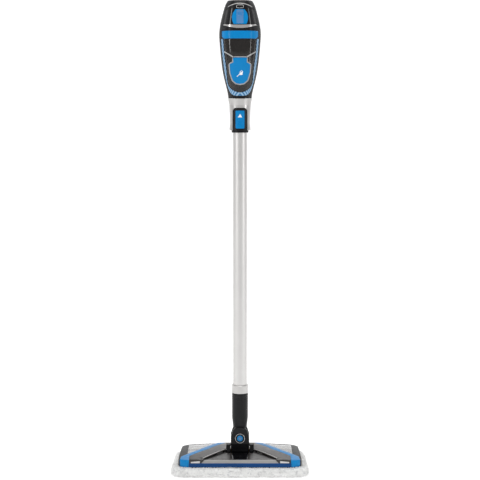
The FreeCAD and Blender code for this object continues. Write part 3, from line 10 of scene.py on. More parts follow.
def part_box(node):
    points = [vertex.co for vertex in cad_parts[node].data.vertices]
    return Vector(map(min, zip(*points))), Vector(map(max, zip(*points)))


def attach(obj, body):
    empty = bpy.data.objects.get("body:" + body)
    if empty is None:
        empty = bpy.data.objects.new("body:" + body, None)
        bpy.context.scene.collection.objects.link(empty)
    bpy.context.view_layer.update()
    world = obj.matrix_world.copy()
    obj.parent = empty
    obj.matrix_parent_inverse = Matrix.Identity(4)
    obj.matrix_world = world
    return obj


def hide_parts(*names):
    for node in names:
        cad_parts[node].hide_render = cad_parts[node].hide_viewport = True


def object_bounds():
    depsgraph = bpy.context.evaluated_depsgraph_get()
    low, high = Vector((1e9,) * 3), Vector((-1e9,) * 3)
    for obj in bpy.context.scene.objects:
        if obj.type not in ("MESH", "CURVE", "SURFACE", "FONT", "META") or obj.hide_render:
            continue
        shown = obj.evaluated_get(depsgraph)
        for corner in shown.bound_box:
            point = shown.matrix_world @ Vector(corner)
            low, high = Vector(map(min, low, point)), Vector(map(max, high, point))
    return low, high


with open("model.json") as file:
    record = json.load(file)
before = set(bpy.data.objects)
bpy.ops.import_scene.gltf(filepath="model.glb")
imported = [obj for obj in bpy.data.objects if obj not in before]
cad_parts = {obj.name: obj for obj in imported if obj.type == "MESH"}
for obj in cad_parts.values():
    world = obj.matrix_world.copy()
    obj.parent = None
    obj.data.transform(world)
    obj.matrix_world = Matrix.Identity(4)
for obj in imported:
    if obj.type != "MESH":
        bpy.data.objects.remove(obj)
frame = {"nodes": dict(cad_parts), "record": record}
CAD_BOX = [list(corner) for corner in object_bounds()]
MM = 0.001
NODES = frame["nodes"]
SLOT_OF = {row["node"]: row["material_slot"] for row in frame["record"]["subparts"]}


# ------------------------------------------------------------------ camera, floor and light
CAMERA_PLACE = (0, -3.2, 0.95)
CAMERA_LENS = 95.9
AIM_SHARE = 0.497  # of the height, from the floor
SHEET_HALF = 9
SHEET_TOP = 9
CURVE_START = 2.2
CURVE_RADIUS = 1.8
SHEET_DROP = 0.0004
STUDIO_GLOW = 0.42
LIGHTS = (  # name, place, aim, size and power
    ("key", (-2.4, -1.7, 1.9), (0, 0, 0.6), (0.7, 2.6), 34),
    ("fill", (2.5, -1.3, 1.5), (0, 0, 0.6), (0.5, 2.6), 20),
    ("rim", (0.6, 2.6, 2.4), (0, 0, 0.7), (2.0, 1.4), 14),
    ("top", (0, -0.5, 3.0), (0, 0, 0), (1.4, 1.2), 16))


def make_camera():
    """A long lens a little below eye height, aimed at the middle of the mop."""
    low, high = CAD_BOX
    data = bpy.data.cameras.new("camera")
    data.sensor_width, data.lens = 36, CAMERA_LENS
    data.clip_start, data.clip_end = 0.1, 50
    camera = bpy.data.objects.new("camera", data)
    bpy.context.collection.objects.link(camera)
    camera.location = CAMERA_PLACE
    aim = Vector((0, 0, low[2] + AIM_SHARE * (high[2] - low[2])))
    camera.rotation_euler = (aim - camera.location).to_track_quat("-Z", "Y").to_euler()
    bpy.context.scene.camera = camera


def make_backdrop():
    """A pale sheet that runs along the floor and sweeps up behind the mop."""
    low = CAD_BOX[0][2] - SHEET_DROP
    profile = [(-SHEET_HALF, low), (CURVE_START, low)]
    for turn in range(6, 91, 6):
        angle = math.radians(turn)
        along, up = math.sin(angle), 1 - math.cos(angle)
        profile.append((CURVE_START + CURVE_RADIUS * along, low + CURVE_RADIUS * up))
    profile.append((CURVE_START + CURVE_RADIUS, SHEET_TOP))
    points = [(x, y, z) for y, z in profile for x in (-SHEET_HALF, SHEET_HALF)]
    faces = [(2 * n, 2 * n + 1, 2 * n + 3, 2 * n + 2) for n in range(len(profile) - 1)]
    floor = mesh_object("backdrop", points, faces)
    smooth(floor)
    material, nodes, links, shader = shader_base("backdrop_paper")
    shader.inputs["Roughness"].default_value = 0.95
    links.new(noise_colour(nodes, links, (0.88, 0.88, 0.88), (0.9, 0.9, 0.9), 2), shader.inputs["Base Color"])
    shader.inputs["Emission Color"].default_value = (1, 1, 1, 1)
    shader.inputs["Emission Strength"].default_value = STUDIO_GLOW
    floor.data.materials.append(material)


def make_light():
    """An even pale world and four soft lamps."""
    world = bpy.data.worlds.new("studio")
    world.use_nodes = True
    background = world.node_tree.nodes["Background"]
    background.inputs["Color"].default_value = (1, 1, 1, 1)
    background.inputs["Strength"].default_value = STUDIO_GLOW
    bpy.context.scene.world = world
    for name, place, aim, size, power in LIGHTS:
        data = bpy.data.lights.new(name, "AREA")
        data.shape = "RECTANGLE"
        data.size, data.size_y = size
        data.energy = power
        light = bpy.data.objects.new(name, data)
        bpy.context.collection.objects.link(light)
        light.location = place
        light.rotation_euler = (Vector(aim) - Vector(place)).to_track_quat("-Z", "Y").to_euler()
    bpy.context.scene.view_settings.view_transform = "Standard"


# ------------------------------------------------------------------ material building
def shader_base(name):
    """A new material and its main shader."""
    material = bpy.data.materials.new(name)
    material.use_nodes = True
    nodes, links = material.node_tree.nodes, material.node_tree.links
    return material, nodes, links, nodes["Principled BSDF"]


def place_noise(nodes, links, scale, detail=2, stretch=(1, 1, 1)):
    """Noise over the object's own metres, stretched along its axes."""
    coordinates = nodes.new("ShaderNodeTexCoord")
    mapping = nodes.new("ShaderNodeMapping")
    mapping.inputs["Scale"].default_value = stretch
    texture = nodes.new("ShaderNodeTexNoise")
    texture.inputs["Scale"].default_value = scale
    texture.inputs["Detail"].default_value = detail
    links.new(coordinates.outputs["Object"], mapping.inputs["Vector"])
    links.new(mapping.outputs["Vector"], texture.inputs["Vector"])
    return texture.outputs["Fac"]


def noise_colour(nodes, links, low, high, scale, detail=2, stretch=(1, 1, 1), edges=(0.35, 0.65)):
    """A colour that wanders between two values."""
    ramp = nodes.new("ShaderNodeValToRGB")
    for element, place, colour in zip(ramp.color_ramp.elements, edges, (low, high)):
        element.position = place
        element.color = (*colour, 1)
    links.new(place_noise(nodes, links, scale, detail, stretch), ramp.inputs["Fac"])
    return ramp.outputs["Color"]


def ranged(nodes, links, value, low, high):
    """A value stretched from 0..1 onto a narrow range."""
    remap = nodes.new("ShaderNodeMapRange")
    remap.inputs["To Min"].default_value = low
    remap.inputs["To Max"].default_value = high
    links.new(value, remap.inputs["Value"])
    return remap.outputs["Result"]


def add_bump(nodes, links, shader, height, strength, distance):
    """Fine relief from a height value."""
    bump = nodes.new("ShaderNodeBump")
    bump.inputs["Strength"].default_value = strength
    bump.inputs["Distance"].default_value = distance
    links.new(height, bump.inputs["Height"])
    links.new(bump.outputs["Normal"], shader.inputs["Normal"])


def plastic(name, colour, rough, grain=900, grain_depth=0.00004, coat=0.0, drift=0.12, metallic=0.0,
            alpha=1.0, stretch=(1, 1, 1), specular=0.5):
    """Moulded plastic, paint or rubber: colour drift, fine grain and uneven gloss."""
    material, nodes, links, shader = shader_base(name)
    dark = tuple(c * (1 - drift) for c in colour)
    light = tuple(min(1, c * (1 + drift)) for c in colour)
    links.new(noise_colour(nodes, links, dark, light, 14, 3), shader.inputs["Base Color"])
    links.new(ranged(nodes, links, place_noise(nodes, links, 60, 3), rough * 0.85, min(1, rough * 1.15)),
              shader.inputs["Roughness"])
    add_bump(nodes, links, shader, place_noise(nodes, links, grain, 2, stretch), 0.6, grain_depth)
    shader.inputs["Metallic"].default_value = metallic
    shader.inputs["Coat Weight"].default_value = coat
    shader.inputs["Coat Roughness"].default_value = 0.06
    shader.inputs["Alpha"].default_value = alpha
    shader.inputs["Specular IOR Level"].default_value = specular
    return material


def cloth(name, colour, shade):
    """Microfibre: bright tips over grey painted shade between the fibres, soft sheen and a fine fibre bump."""
    material, nodes, links, shader = shader_base(name)
    # The shade colour is painted shade: the darkness in the gaps between fibres, laid on as noise.
    tips_and_painted_shade = noise_colour(nodes, links, shade, colour, 160, 4, edges=(0.3, 0.5))
    links.new(tips_and_painted_shade, shader.inputs["Base Color"])
    shader.inputs["Roughness"].default_value = 0.95
    shader.inputs["Sheen Weight"].default_value = 0.5
    shader.inputs["Sheen Roughness"].default_value = 0.6
    add_bump(nodes, links, shader, place_noise(nodes, links, 1400, 3), 0.8, 0.0004)
    return material


def make_materials():
    """One finish for each of the record's slots, and the extra ones the added pieces use."""
    brushed = (1, 1, 0.04)
    return {
        # The pad's second colour is painted shade between the fibres, darker on the sleeve than on its
        # strands.
        "pad_fabric": cloth("pad_fabric", (0.95, 0.95, 0.94), (0.66, 0.66, 0.67)),
        "pad_fibre": cloth("pad_fibre", (0.96, 0.96, 0.95), (0.8, 0.8, 0.8)),
        "black_plastic": plastic("black_plastic", (0.006, 0.006, 0.007), 0.4, 1400, specular=0.22),
        "black_gloss": plastic("black_gloss", (0.003, 0.003, 0.004), 0.14, 500, 0.00001, coat=0.35,
                               specular=0.3),
        "grey_plastic": plastic("grey_plastic", (0.03, 0.027, 0.026), 0.34, 1600, specular=0.35),
        "light_grey": plastic("light_grey", (0.42, 0.42, 0.42), 0.45, 1000),
        "vivid_blue": plastic("vivid_blue", (0.0, 0.2, 0.5), 0.32, 800, 0.00002, coat=0.06, drift=0.06,
                              specular=0.16),
        "steel_blue": plastic("steel_blue", (0.07, 0.2, 0.42), 0.26, 800, 0.00002, coat=0.4, drift=0.08),
        "navy": plastic("navy", (0.001, 0.05, 0.19), 0.5, 1600, 0.00008, specular=0.25),
        "silver_paint": plastic("silver_paint", (0.52, 0.51, 0.5), 0.3, 3000, 0.00001, coat=0.3, drift=0.05,
                                metallic=0.75),
        "tube_metal": plastic("tube_metal", (0.64, 0.63, 0.62), 0.42, 5000, 0.00001, drift=0.02,
                              metallic=0.85, stretch=brushed),
        "steel": plastic("steel", (0.5, 0.5, 0.5), 0.28, 3000, 0.00001, metallic=1, stretch=brushed),
        "brass": plastic("brass", (0.62, 0.42, 0.16), 0.3, 2000, 0.00001, metallic=1),
        "smoke": plastic("smoke", (0.012, 0.01, 0.009), 0.1, 300, 0.00001, coat=0.4, alpha=0.86,
                         specular=0.35),
        "clear": plastic("clear", (0.5, 0.5, 0.5), 0.12, 300, 0.00001, coat=0.5, alpha=0.7),
        "rubber": plastic("rubber", (0.014, 0.014, 0.014), 0.7, 1200, 0.00012),
        "silicone": plastic("silicone", (0.6, 0.58, 0.54), 0.5, 900),
        "board": plastic("board", (0.01, 0.11, 0.05), 0.45, 700),
        "hook": plastic("hook", (0.02, 0.02, 0.02), 0.9, 2500, 0.0004),
        "white_print": plastic("white_print", (0.85, 0.86, 0.87), 0.4, 1500),
    }


SOFT_EDGES = {  # how far the outer edges of the larger mouldings are rounded
    "yoke": 0.0009, "top_cover": 0.0006, "front_panels": 0.0006, "center_panel": 0.0006, "front_lip": 0.0005,
    "front_strip": 0.0005, "trim_stripes": 0.0006, "end_cap_left": 0.0006, "end_cap_right": 0.0006,
    "windows": 0.0005, "trunnion_blocks": 0.0006, "trigger": 0.0008, "release_button": 0.0004,
    "button_bezel": 0.0003, "power_button": 0.0005, "accent_band": 0.0004}
EDGE_ANGLE = math.radians(38)
WELD_GAP = 0.00001
NODE_FINISH = {"windows": "head_glass", "side_trim": "side_ribs"}


def streaked_glass():
    """Clear cover over a pale tray, seen as long grey streaks."""
    material, nodes, links, shader = shader_base("head_glass")
    streaks = noise_colour(nodes, links, (0.12, 0.12, 0.12), (0.42, 0.42, 0.41), 26, 4,
                           (0.35, 1.6, 1), (0.38, 0.6))
    links.new(streaks, shader.inputs["Base Color"])
    links.new(ranged(nodes, links, place_noise(nodes, links, 40), 0.08, 0.2), shader.inputs["Roughness"])
    shader.inputs["Coat Weight"].default_value = 0.6
    shader.inputs["Alpha"].default_value = 0.92
    add_bump(nodes, links, shader, place_noise(nodes, links, 60, 2, (0.3, 1.5, 1)), 0.5, 0.0006)
    return material


def ribbed(name, dark, light, scale):
    """Painted plastic with fine slanting ribs, the same on the left and the right; the colour runs dark to
    light with each rib's relief as painted shade and highlight.
    """
    material, nodes, links, shader = shader_base(name)
    coordinates = nodes.new("ShaderNodeTexCoord")
    apart = nodes.new("ShaderNodeSeparateXYZ")
    mirrored = nodes.new("ShaderNodeMath")
    mirrored.operation = "ABSOLUTE"
    together = nodes.new("ShaderNodeCombineXYZ")
    wave = nodes.new("ShaderNodeTexWave")
    wave.bands_direction = "DIAGONAL"
    wave.inputs["Scale"].default_value = scale
    wave.inputs["Distortion"].default_value = 0.4
    links.new(coordinates.outputs["Object"], apart.inputs["Vector"])
    links.new(apart.outputs["X"], mirrored.inputs[0])
    links.new(mirrored.outputs["Value"], together.inputs["X"])
    links.new(apart.outputs["Y"], together.inputs["Y"])
    links.new(apart.outputs["Z"], together.inputs["Z"])
    links.new(together.outputs["Vector"], wave.inputs["Vector"])
    # The dark and light colours follow the same wave as the ribs' bump: painted shade and highlight on each
    # rib.
    ramp = nodes.new("ShaderNodeValToRGB")
    for element, place, colour in zip(ramp.color_ramp.elements, (0.3, 0.7), (dark, light)):
        element.position = place
        element.color = (*colour, 1)
    links.new(wave.outputs["Fac"], ramp.inputs["Fac"])
    links.new(ramp.outputs["Color"], shader.inputs["Base Color"])
    links.new(ranged(nodes, links, place_noise(nodes, links, 60), 0.25, 0.35), shader.inputs["Roughness"])
    shader.inputs["Coat Weight"].default_value = 0.3
    add_bump(nodes, links, shader, wave.outputs["Fac"], 0.7, 0.0004)
    return material


def dress_cad():
    """Every carried-over CAD node gets its slot's finish and slightly rounded edges."""
    for node, obj in NODES.items():
        finish = FINISHES[NODE_FINISH.get(node, SLOT_OF[node])]
        obj.data.materials.clear()
        obj.data.materials.append(finish)
        if node in SOFT_EDGES:
            weld = obj.modifiers.new("weld", "WELD")
            weld.merge_threshold = WELD_GAP
            edge = obj.modifiers.new("edge", "BEVEL")
            edge.width, edge.segments = SOFT_EDGES[node], 2
            edge.limit_method, edge.angle_limit = "ANGLE", EDGE_ANGLE
            edge.harden_normals = True


# ------------------------------------------------------------------ mesh helpers
SWEEP_UP = Vector((0.31, 0.17, 0.93))  # in line with no swept path
BEAD_STEP = 0.002
SIDES = {"front": Vector((0, 1, 0)), "back": Vector((0, -1, 0)), "top": Vector((0, 0, -1))}


def surface_of(*nodes):
    """A ray target made of the named CAD nodes."""
    points, faces = [], []
    for node in nodes:
        start = len(points)
        mesh = NODES[node].data
        points += [vertex.co.copy() for vertex in mesh.vertices]
        faces += [[start + index for index in polygon.vertices] for polygon in mesh.polygons]
    return BVHTree.FromPolygons(points, faces)


def onto(tree, a, b, side, lift):
    """The point of a surface straight behind (a, b), seen from one side, raised towards the viewer."""
    look = SIDES[side]
    start = Vector((a, b, 0)) if side == "top" else Vector((a, 0, b))
    hit = tree.ray_cast(start - look, look)[0] or tree.find_nearest(start - look * 0.05)[0]
    return hit - look * lift


def smooth(obj):
    for polygon in obj.data.polygons:
        polygon.use_smooth = True


def finish_piece(obj, finish, body):
    """Smooth shading, a finish and the body to ride on."""
    smooth(obj)
    obj.data.materials.append(FINISHES[finish])
    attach(obj, body)


def mesh_object(name, points, faces):
    """An object made of the given corners and faces."""
    mesh = bpy.data.meshes.new(name)
    mesh.from_pydata([tuple(point) for point in points], [], faces)
    obj = bpy.data.objects.new(name, mesh)
    bpy.context.collection.objects.link(obj)
    return obj


def skin(name, tree, span, low, high, side, depth, columns=40, rows=6, lift=0.0001):
    """A thin moulding laid on a surface between two edges, both functions of the first axis."""
    points, faces = [], []
    for column in range(columns + 1):
        a = span[0] + (span[1] - span[0]) * column / columns
        for row in range(rows + 1):
            b = low(a) + (high(a) - low(a)) * row / rows
            points.append(onto(tree, a, b, side, lift))
    for column in range(columns):
        for row in range(rows):
            first = column * (rows + 1) + row
            faces.append((first, first + rows + 1, first + rows + 2, first + 1))
    obj = mesh_object(name, points, faces)
    thick = obj.modifiers.new("thickness", "SOLIDIFY")
    thick.thickness, thick.offset = depth, -1 if side == "back" else 1
    edge = obj.modifiers.new("edge", "BEVEL")
    edge.width, edge.segments, edge.limit_method = depth * 0.4, 2, "ANGLE"
    return obj


def resample(path, step, closed=False):
    """Points at even steps along a run of points."""
    ring = list(path) + ([path[0]] if closed else [])
    lengths = [0]
    for start, end in zip(ring, ring[1:]):
        lengths.append(lengths[-1] + math.dist(start, end))
    count = max(2, round(lengths[-1] / step))
    points, index = [], 0
    for number in range(count + (0 if closed else 1)):
        along = lengths[-1] * number / count
        while index < len(ring) - 2 and lengths[index + 1] < along:
            index += 1
        share = (along - lengths[index]) / max(1e-9, lengths[index + 1] - lengths[index])
        points.append(tuple(a + (b - a) * share for a, b in zip(ring[index], ring[index + 1])))
    return points


def sweep(name, path, radius, sides=10, closed=False, taper=None):
    """A round bar along a path, with its own thickness at each point if taper says so."""
    path = [Vector(point) for point in path]
    points, count = [], len(path)
    for index, point in enumerate(path):
        before = path[index - 1] if closed or index else point
        after = path[(index + 1) % count] if closed or index < count - 1 else point
        along = (after - before).normalized()
        across = along.cross(SWEEP_UP).normalized()
        up = along.cross(across)
        width = radius * (taper(index / max(1, count - 1)) if taper else 1)
        for side in range(sides):
            turn = math.tau * side / sides
            points.append(point + (across * math.cos(turn) + up * math.sin(turn)) * width)
    return mesh_object(name, points, tube_faces(count, sides, closed))


def bead(name, tree, path, side, radius, closed=False, lift=0.0, taper=None):
    """A round bead that follows a surface."""
    flat = resample(path, BEAD_STEP, closed)
    return sweep(name, [onto(tree, a, b, side, lift) for a, b in flat], radius, 10, closed, taper)


def ring_path(centre, radius, count=48):
    """A circle's points in a flat plane."""
    turns = [math.tau * n / count for n in range(count)]
    return [(centre[0] + radius * math.cos(turn), centre[1] + radius * math.sin(turn)) for turn in turns]


def tube_faces(rows, sides, closed=False):
    """The quads between rings of points, and the two end caps of an open one."""
    faces = []
    for index in range(rows if closed else rows - 1):
        here, there = index * sides, (index + 1) % rows * sides
        for side in range(sides):
            step = (side + 1) % sides
            faces.append((here + side, here + step, there + step, there + side))
    if not closed:
        faces += [tuple(range(sides))[::-1], tuple(range((rows - 1) * sides, rows * sides))]
    return faces


def lathe(name, profile, origin, axis, sides=40):
    """A turned piece: radius and distance pairs round an axis."""
    axis = Vector(axis).normalized()
    across = axis.orthogonal().normalized()
    up = axis.cross(across)
    points = []
    for radius, along in profile:
        for side in range(sides):
            turn = math.tau * side / sides
            out = across * math.cos(turn) + up * math.sin(turn)
            points.append(Vector(origin) + axis * along + out * radius)
    return mesh_object(name, points, tube_faces(len(profile), sides))


# ------------------------------------------------------------------ microfibre pad
CORNER_STEPS = 12
PAD_COLUMNS = 420
PAD_CORNER = 0.036
PAD_TAPER = 0.0085  # how much narrower the rear is on each side
SWELL_ROWS = slice(3, 14)
SWELL_LIFT = 0.00003
SOLE_GAP = 0.0003
PILE = (  # first and last profile row, strands, lengths and radii
    (4, 9, 4600, (2.4, 5.2), (0.55, 0.95)),
    (9, 12.5, 2300, (2.0, 4.2), (0.5, 0.85)),
    (1, 4, 1500, (1.2, 2.2), (0.7, 1.1)))
def rounded_plan(front_half, rear_half, front, rear, corner, count):
    """A trapezium with rounded corners, as evenly spaced points."""
    corners = [(front_half, front), (rear_half, rear), (-rear_half, rear), (-front_half, front)]
    path = []
    for index, here in enumerate(corners):
        here = Vector(here)
        back = (Vector(corners[index - 1]) - here).normalized()
        ahead = (Vector(corners[(index + 1) % 4]) - here).normalized()
        start, end = here + back * corner, here + ahead * corner
        for step in range(CORNER_STEPS + 1):
            share = step / CORNER_STEPS
            path.append(tuple(start * (1 - share) ** 2 + here * 2 * share * (1 - share) + end * share ** 2))
    fine = resample(path, MM, True)
    return [fine[int(len(fine) * number / count)] for number in range(count)]


PAD_PROFILE = [  # inset from the pad's edge and height, from the sole round the edge into the pocket
    (82, 1.2), (60, 0.9), (34, 0.8), (18, 0.7), (9, 0.9), (4, 2.4), (1.4, 5.6), (0.6, 10), (1.0, 14.5),
    (3.0, 18.6), (6.5, 21.0), (11, 22.0), (15.5, 21.8), (19, 20.8), (20.5, 17.5), (20.9, 9.4), (50, 9.2),
    (82, 9.1)]


def make_pad():
    """A padded microfibre sleeve with a soft rim, covered in short noodles of pile."""
    low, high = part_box("mop_pad")
    centre_y = (low[1] + high[1]) / 2
    rng = random.Random(7)
    count = PAD_COLUMNS
    rings = []
    for inset, height in PAD_PROFILE:
        inset, height = inset * MM, height * MM
        plan = rounded_plan(high[0] - inset, high[0] - PAD_TAPER - inset, low[1] + inset, high[1] - inset,
                            max(3 * MM, PAD_CORNER - inset), count)
        rings.append([Vector((x, y, low[2] + height)) for x, y in plan])
    for ring, (inset, height) in zip(rings[SWELL_ROWS], PAD_PROFILE[SWELL_ROWS]):
        for index, point in enumerate(ring):
            swell = noise.noise(point * 45) * 1.3 + noise.noise(point * 130) * 0.7
            out = Vector((point.x, (point.y - centre_y) * 1.8, 0)).normalized()
            ring[index] = point + out * swell * MM + Vector((0, 0, max(0, height - 3) * swell * SWELL_LIFT))
    points = [point for ring in rings for point in ring]
    faces = tube_faces(len(rings), count)
    body_faces = len(faces)

    def noodle(root, way, length, radius):
        """One tapered, drooping strand of pile."""
        way = way.normalized()
        across = way.cross(Vector((0.2, 0.9, 0.37))).normalized()
        up = way.cross(across)
        bend = Vector((rng.uniform(-0.5, 0.5), rng.uniform(-0.5, 0.5), rng.uniform(-0.9, 0.1)))
        start = len(points)
        for share, width in ((0, 1.0), (0.45, 1.05), (0.85, 0.75)):
            middle = root + way * length * share + bend * length * share * share * 0.7
            for turn in range(4):
                angle = turn * math.pi / 2
                spot = middle + (across * math.cos(angle) + up * math.sin(angle)) * radius * width
                spot.z = max(spot.z, low[2] + SOLE_GAP)
                points.append(spot)
        tip = root + way * length + bend * length * 0.7
        tip.z = max(tip.z, low[2] + SOLE_GAP)
        points.append(tip)
        for layer in (0, 4):
            for turn in range(4):
                after = (turn + 1) % 4
                faces.append((start + layer + turn, start + layer + after, start + layer + 4 + after,
                              start + layer + 4 + turn))
        for turn in range(4):
            faces.append((start + 8 + turn, start + 8 + (turn + 1) % 4, start + 12))

    def pile(first, last, number, length, radius):
        """Strands rooted on the profile between two of its points."""
        for _ in range(number):
            row = rng.uniform(first, last - 0.001)
            step = rng.randrange(count)
            lower, upper = rings[int(row)], rings[int(row) + 1]
            share = row - int(row)
            root = lower[step].lerp(upper[step], share)
            along = lower[(step + 1) % count] - lower[step]
            way = along.cross(upper[step] - lower[step])
            way = way.normalized() + Vector([rng.uniform(-0.45, 0.45) for _ in range(3)])
            noodle(root, way, rng.uniform(*length) * MM, rng.uniform(*radius) * MM)

    for patch in PILE:
        pile(*patch)
    pad = mesh_object("pad_microfibre", points, faces)
    pad.data.materials.append(FINISHES["pad_fabric"])
    pad.data.materials.append(FINISHES["pad_fibre"])
    smooth(pad)
    for polygon in pad.data.polygons:
        polygon.material_index = 0 if polygon.index < body_faces else 1
    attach(pad, "head")
    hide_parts("mop_pad")


# ------------------------------------------------------------------ details on the head and neck
MIRRORED = (("right", 1), ("left", -1))
ARM_LINE_ROOT = 0.0395
RIB_PITCH = 0.0017
PIVOT_RING = 0.0118
CAP_DIMPLE = [(0.0046, -0.0003), (0.0044, 0.0003), (0.0036, 0.0005), (0.0022, 0.0002)]
TAIL_NEAR, TAIL_FAR = 0.0035, 0.026  # how far the strip's tails run on past its ends
NECK_GROOVES = (0.006, 0.011, 0.016)  # below the neck's top


def make_head_details():
    """Silver lines painted along the arms as the highlight on their inner edges, the lip's ribs, and silver
    tails painted past the strip's ends as the front bevel's highlight.
    """
    panel_low, panel_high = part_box("front_panels")
    cover = surface_of("top_cover", "front_panels")
    tip = (panel_high[0] + 0.0022, panel_low[1] + 0.004)
    for name, sign in MIRRORED:
        # The silver bead is a painted highlight: the light caught on the arm's inner edge.
        path = [(sign * tip[0], tip[1]), (sign * ARM_LINE_ROOT, panel_high[1])]
        line = bead("arm_highlight_line_" + name, cover, path, "top", 0.0011, lift=0.0002)
        finish_piece(line, "silver_paint", "head")

    lip = surface_of("front_lip")
    lip_low, lip_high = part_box("front_lip")
    for index in range(4):
        z = lip_low[2] + (index + 1.2) * RIB_PITCH
        path = [(x * MM, z) for x in range(int(lip_low[0] / MM) + 3, int(lip_high[0] / MM) - 2, 4)]
        rib = bead("lip_rib_%d" % index, lip, path, "front", 0.00042)
        finish_piece(rib, "navy", "head")

    ends = surface_of("top_cover", "end_cap_left", "end_cap_right", "trim_stripes")
    strip_low, strip_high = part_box("front_strip")
    near, far = strip_high[0] + TAIL_NEAR, strip_high[0] + TAIL_FAR
    # The silver tails are a painted highlight: they carry the front bevel's highlight on past the strip's
    # ends.
    for name, sign in MIRRORED:
        span = (near, far) if sign > 0 else (-far, -near)
        tail = skin("strip_highlight_tail_" + name, ends, span, lambda x: strip_low[2] + 0.0004,
                    lambda x: strip_high[2] - 0.0014 - (abs(x) - near) * 0.1, "front", 0.0006, 12, 3)
        finish_piece(tail, "silver_paint", "head")


def make_joint_details():
    """Silver rings painted round the yoke's pivot caps as the highlight arcs on the yoke, dimples in the caps,
    and grooves round the neck.
    """
    yoke = surface_of("yoke")
    cap_low, cap_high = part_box("pivot_caps")
    middle = (0, (cap_low[2] + cap_high[2]) / 2)
    for name, side, y, out in (("front", "front", cap_low[1], -1), ("rear", "back", cap_high[1], 1)):
        # The silver ring is a painted highlight: the arcs of light on the yoke round each cap.
        ring = bead("yoke_highlight_ring_" + name, yoke, ring_path(middle, PIVOT_RING), side, 0.00075, closed=True)
        finish_piece(ring, "silver_paint", "yoke")
        dot = lathe("cap_dimple_" + name, CAP_DIMPLE, (0, y, middle[1]), (0, out, 0))
        finish_piece(dot, "steel_blue", "yoke")

    neck_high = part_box("neck_housing")[1]
    for index, drop in enumerate(NECK_GROOVES):
        path = [(x, y, neck_high[2] - drop) for x, y in ring_path((0, 0), neck_high[0], 72)]
        ring = sweep("neck_groove_%d" % index, path, 0.00055, 8, True)
        finish_piece(ring, "black_gloss", "wand")


# ------------------------------------------------------------------ details on the handheld
RECESS_HALF = 0.0075
RECESS_FRAME = ((-1, -0.6), (-0.8, -1), (0.8, -1), (1, -0.6), (1, 0.6), (0.8, 1), (-0.8, 1), (-1, 0.6))
SMILE_HALF = 0.041
STRIPE_HALF = 0.0085
REAR_SCREWS = ((-0.026, 0.82), (0.026, 0.82), (-0.022, 0.3), (0.022, 0.3))  # across, and share of the height
GRIP_RIBS = 13
GRIP_WRAP = 1.15  # how far each rib reaches round the grip, in radians


def make_crown_details():
    """A silver line painted over the crown as the highlight on its bevel, and its framed recess."""
    crown_low, crown_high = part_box("crown")
    crown = surface_of("crown")
    # The silver bead is a painted highlight: the light caught on the crown's bevel.
    top = crown_high[2] - 0.0085
    arc = [(x * MM, top - (x / 30) ** 2 * 0.0085) for x in range(-30, 31, 3)]
    line = bead("crown_highlight_line", crown, arc, "front", 0.0012,
                taper=lambda share: 0.35 + 0.65 * math.sin(math.pi * share) ** 0.5)
    finish_piece(line, "silver_paint", "handheld")
    foot = crown_low[2] + 0.0012
    plate = skin("crown_recess", crown, (-RECESS_HALF, RECESS_HALF),
                 lambda x: foot + (abs(x) / RECESS_HALF) ** 4 * 0.0012,
                 lambda x: foot + 0.0054 - (abs(x) / RECESS_HALF) ** 4 * 0.0012, "front", 0.0005, 16, 3)
    finish_piece(plate, "black_gloss", "handheld")
    edge = [(x * 0.0085, foot + 0.0027 + z * 0.0036) for x, z in RECESS_FRAME]
    frame_line = bead("crown_recess_frame", crown, edge, "front", 0.0006, closed=True)
    finish_piece(frame_line, "silver_paint", "handheld")


def make_fascia_details():
    """A silver strip painted between fascia and band as the reflection on the fascia's lower edge, the power
    key's lighter stripe, a painted reflection, and the key's ribs.
    """
    fascia_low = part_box("control_fascia")[0]
    band_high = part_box("accent_band")[1]
    gap = fascia_low[2] - band_high[2]
    housing = surface_of("front_housing", "control_fascia", "accent_band")
    # The silver strip is a painted reflection: the light on the fascia's lower edge.
    smile = skin("smile_reflection", housing, (-SMILE_HALF, SMILE_HALF),
                 lambda x: band_high[2] + gap * (0.42 + 0.5 * (x / SMILE_HALF) ** 2),
                 lambda x: band_high[2] + gap * (0.93 + 0.07 * (x / SMILE_HALF) ** 2), "front", 0.0011, 60, 5)
    finish_piece(smile, "silver_paint", "handheld")

    key_low, key_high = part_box("power_button")
    key = surface_of("power_button")
    # The lighter blue stripe is a painted reflection: the gloss down the middle of the rounded key.
    stripe = skin("power_reflection_stripe", key, (-STRIPE_HALF, STRIPE_HALF),
                  lambda x: key_low[2] + 0.0012 + (abs(x) / STRIPE_HALF) ** 4 * 0.0006,
                  lambda x: key_high[2] - 0.0012 - (abs(x) / STRIPE_HALF) ** 4 * 0.0012,
                  "front", 0.0005, 16, 24)
    finish_piece(stripe, "steel_blue", "power_key")
    for index, share in enumerate((0.62, 0.7, 0.78)):
        z = key_low[2] + (key_high[2] - key_low[2]) * share
        rib = bead("power_rib_%d" % index, key, [(-0.006, z), (0.006, z)], "front", 0.0006, lift=0.0005)
        finish_piece(rib, "vivid_blue", "power_key")


def make_release_details():
    """The release button's printed arrow and finger ribs."""
    button = surface_of("release_button")
    low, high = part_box("release_button")
    tip = high[2] - 0.008
    mark = skin("release_mark", button, (-0.0052, 0.0052), lambda x: tip - 0.0085,
                lambda x: tip + 0.0001 - abs(x) * 1.62, "front", 0.0003, 16, 4)
    finish_piece(mark, "white_print", "release_latch")
    for index in range(5):
        z = low[2] + 0.006 + index * 0.0034
        rib = bead("release_rib_%d" % index, button, [(-0.0075, z), (0.0075, z)], "front", 0.0006)
        finish_piece(rib, "vivid_blue", "release_latch")


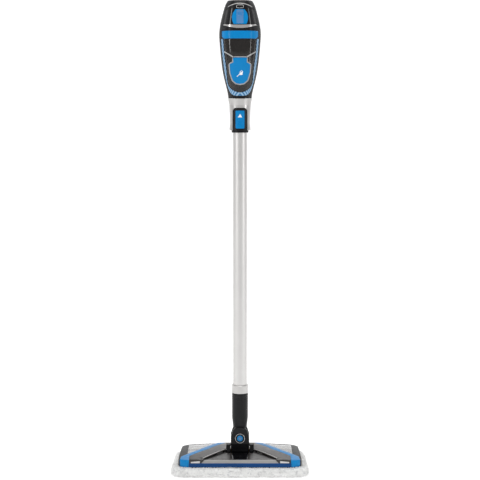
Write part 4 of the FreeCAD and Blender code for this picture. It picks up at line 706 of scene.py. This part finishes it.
def make_rear_details():
    """The rear housing's screws and the grip's ribs."""
    back = surface_of("rear_housing")
    rear_low, rear_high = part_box("rear_housing")
    for index, (x, share) in enumerate(REAR_SCREWS):
        spot = onto(back, x, rear_low[2] + (rear_high[2] - rear_low[2]) * share, "back", 0)
        make_screw("rear_screw_%d" % index, spot, (x * 12, 1, 0))

    grip = surface_of("handle_grip")
    grip_low, grip_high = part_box("handle_grip")
    half = grip_high[0] - 0.0004
    for index in range(GRIP_RIBS):
        z = grip_low[2] + (grip_high[2] - grip_low[2]) * (index + 1) / (GRIP_RIBS + 1)
        path = [(math.sin(turn / 8 * GRIP_WRAP) * half, z) for turn in range(-8, 9)]
        rib = bead("grip_rib_%02d" % index, grip, path, "back", 0.0008)
        finish_piece(rib, "rubber", "handheld")


def make_jug():
    """A filling jug in white print on the tank cap: a round body, a tilted spout and a looped handle."""
    cap = surface_of("tank_cap")
    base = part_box("tank_cap")[0][2] + 0.0215
    body = skin("jug_body", cap, (-0.0012, 0.0062), lambda x: base + abs(x - 0.0025) * 0.22,
                lambda x: base + 0.0052 + (x + 0.0012) * 0.4, "front", 0.0002, 14, 6)
    finish_piece(body, "white_print", "fill_cap")
    pour = [(-0.0008, base + 0.002), (-0.0042, base - 0.0006), (-0.0072, base - 0.0042)]
    spout = bead("jug_spout", cap, pour, "front", 0.0009)
    finish_piece(spout, "white_print", "fill_cap")
    bow = [(-0.0002, base + 0.0062), (0.0012, base + 0.0092), (0.0042, base + 0.0104), (0.0066, base + 0.0086),
           (0.0064, base + 0.006)]
    loop = bead("jug_handle", cap, bow, "front", 0.0007)
    finish_piece(loop, "white_print", "fill_cap")


def make_screw(name, spot, axis):
    """A pan-head screw in its own moulded seat."""
    seat = lathe(name + "_seat", [(0.0052, -0.002), (0.0052, 0.0004), (0.0047, 0.0008), (0.0037, 0.0008),
                                  (0.0036, 0.0001)], spot, axis)
    finish_piece(seat, "black_plastic", "handheld")
    head = lathe(name, [(0.0034, -0.002), (0.0034, 0.0002), (0.0027, 0.0007), (0.0004, 0.0009)], spot, axis)
    finish_piece(head, "steel", "handheld")


# ------------------------------------------------------------------ run
FINISHES = make_materials()
FINISHES["head_glass"] = streaked_glass()
# The side trim's two blues are painted shade and highlight across its ribs.
FINISHES["side_ribs"] = ribbed("side_ribs", (0.02, 0.15, 0.34), (0.28, 0.45, 0.62), 62)
make_camera()
make_backdrop()
make_light()
dress_cad()
make_pad()
make_head_details()
make_joint_details()
make_crown_details()
make_fascia_details()
make_jug()
make_release_details()
make_rear_details()
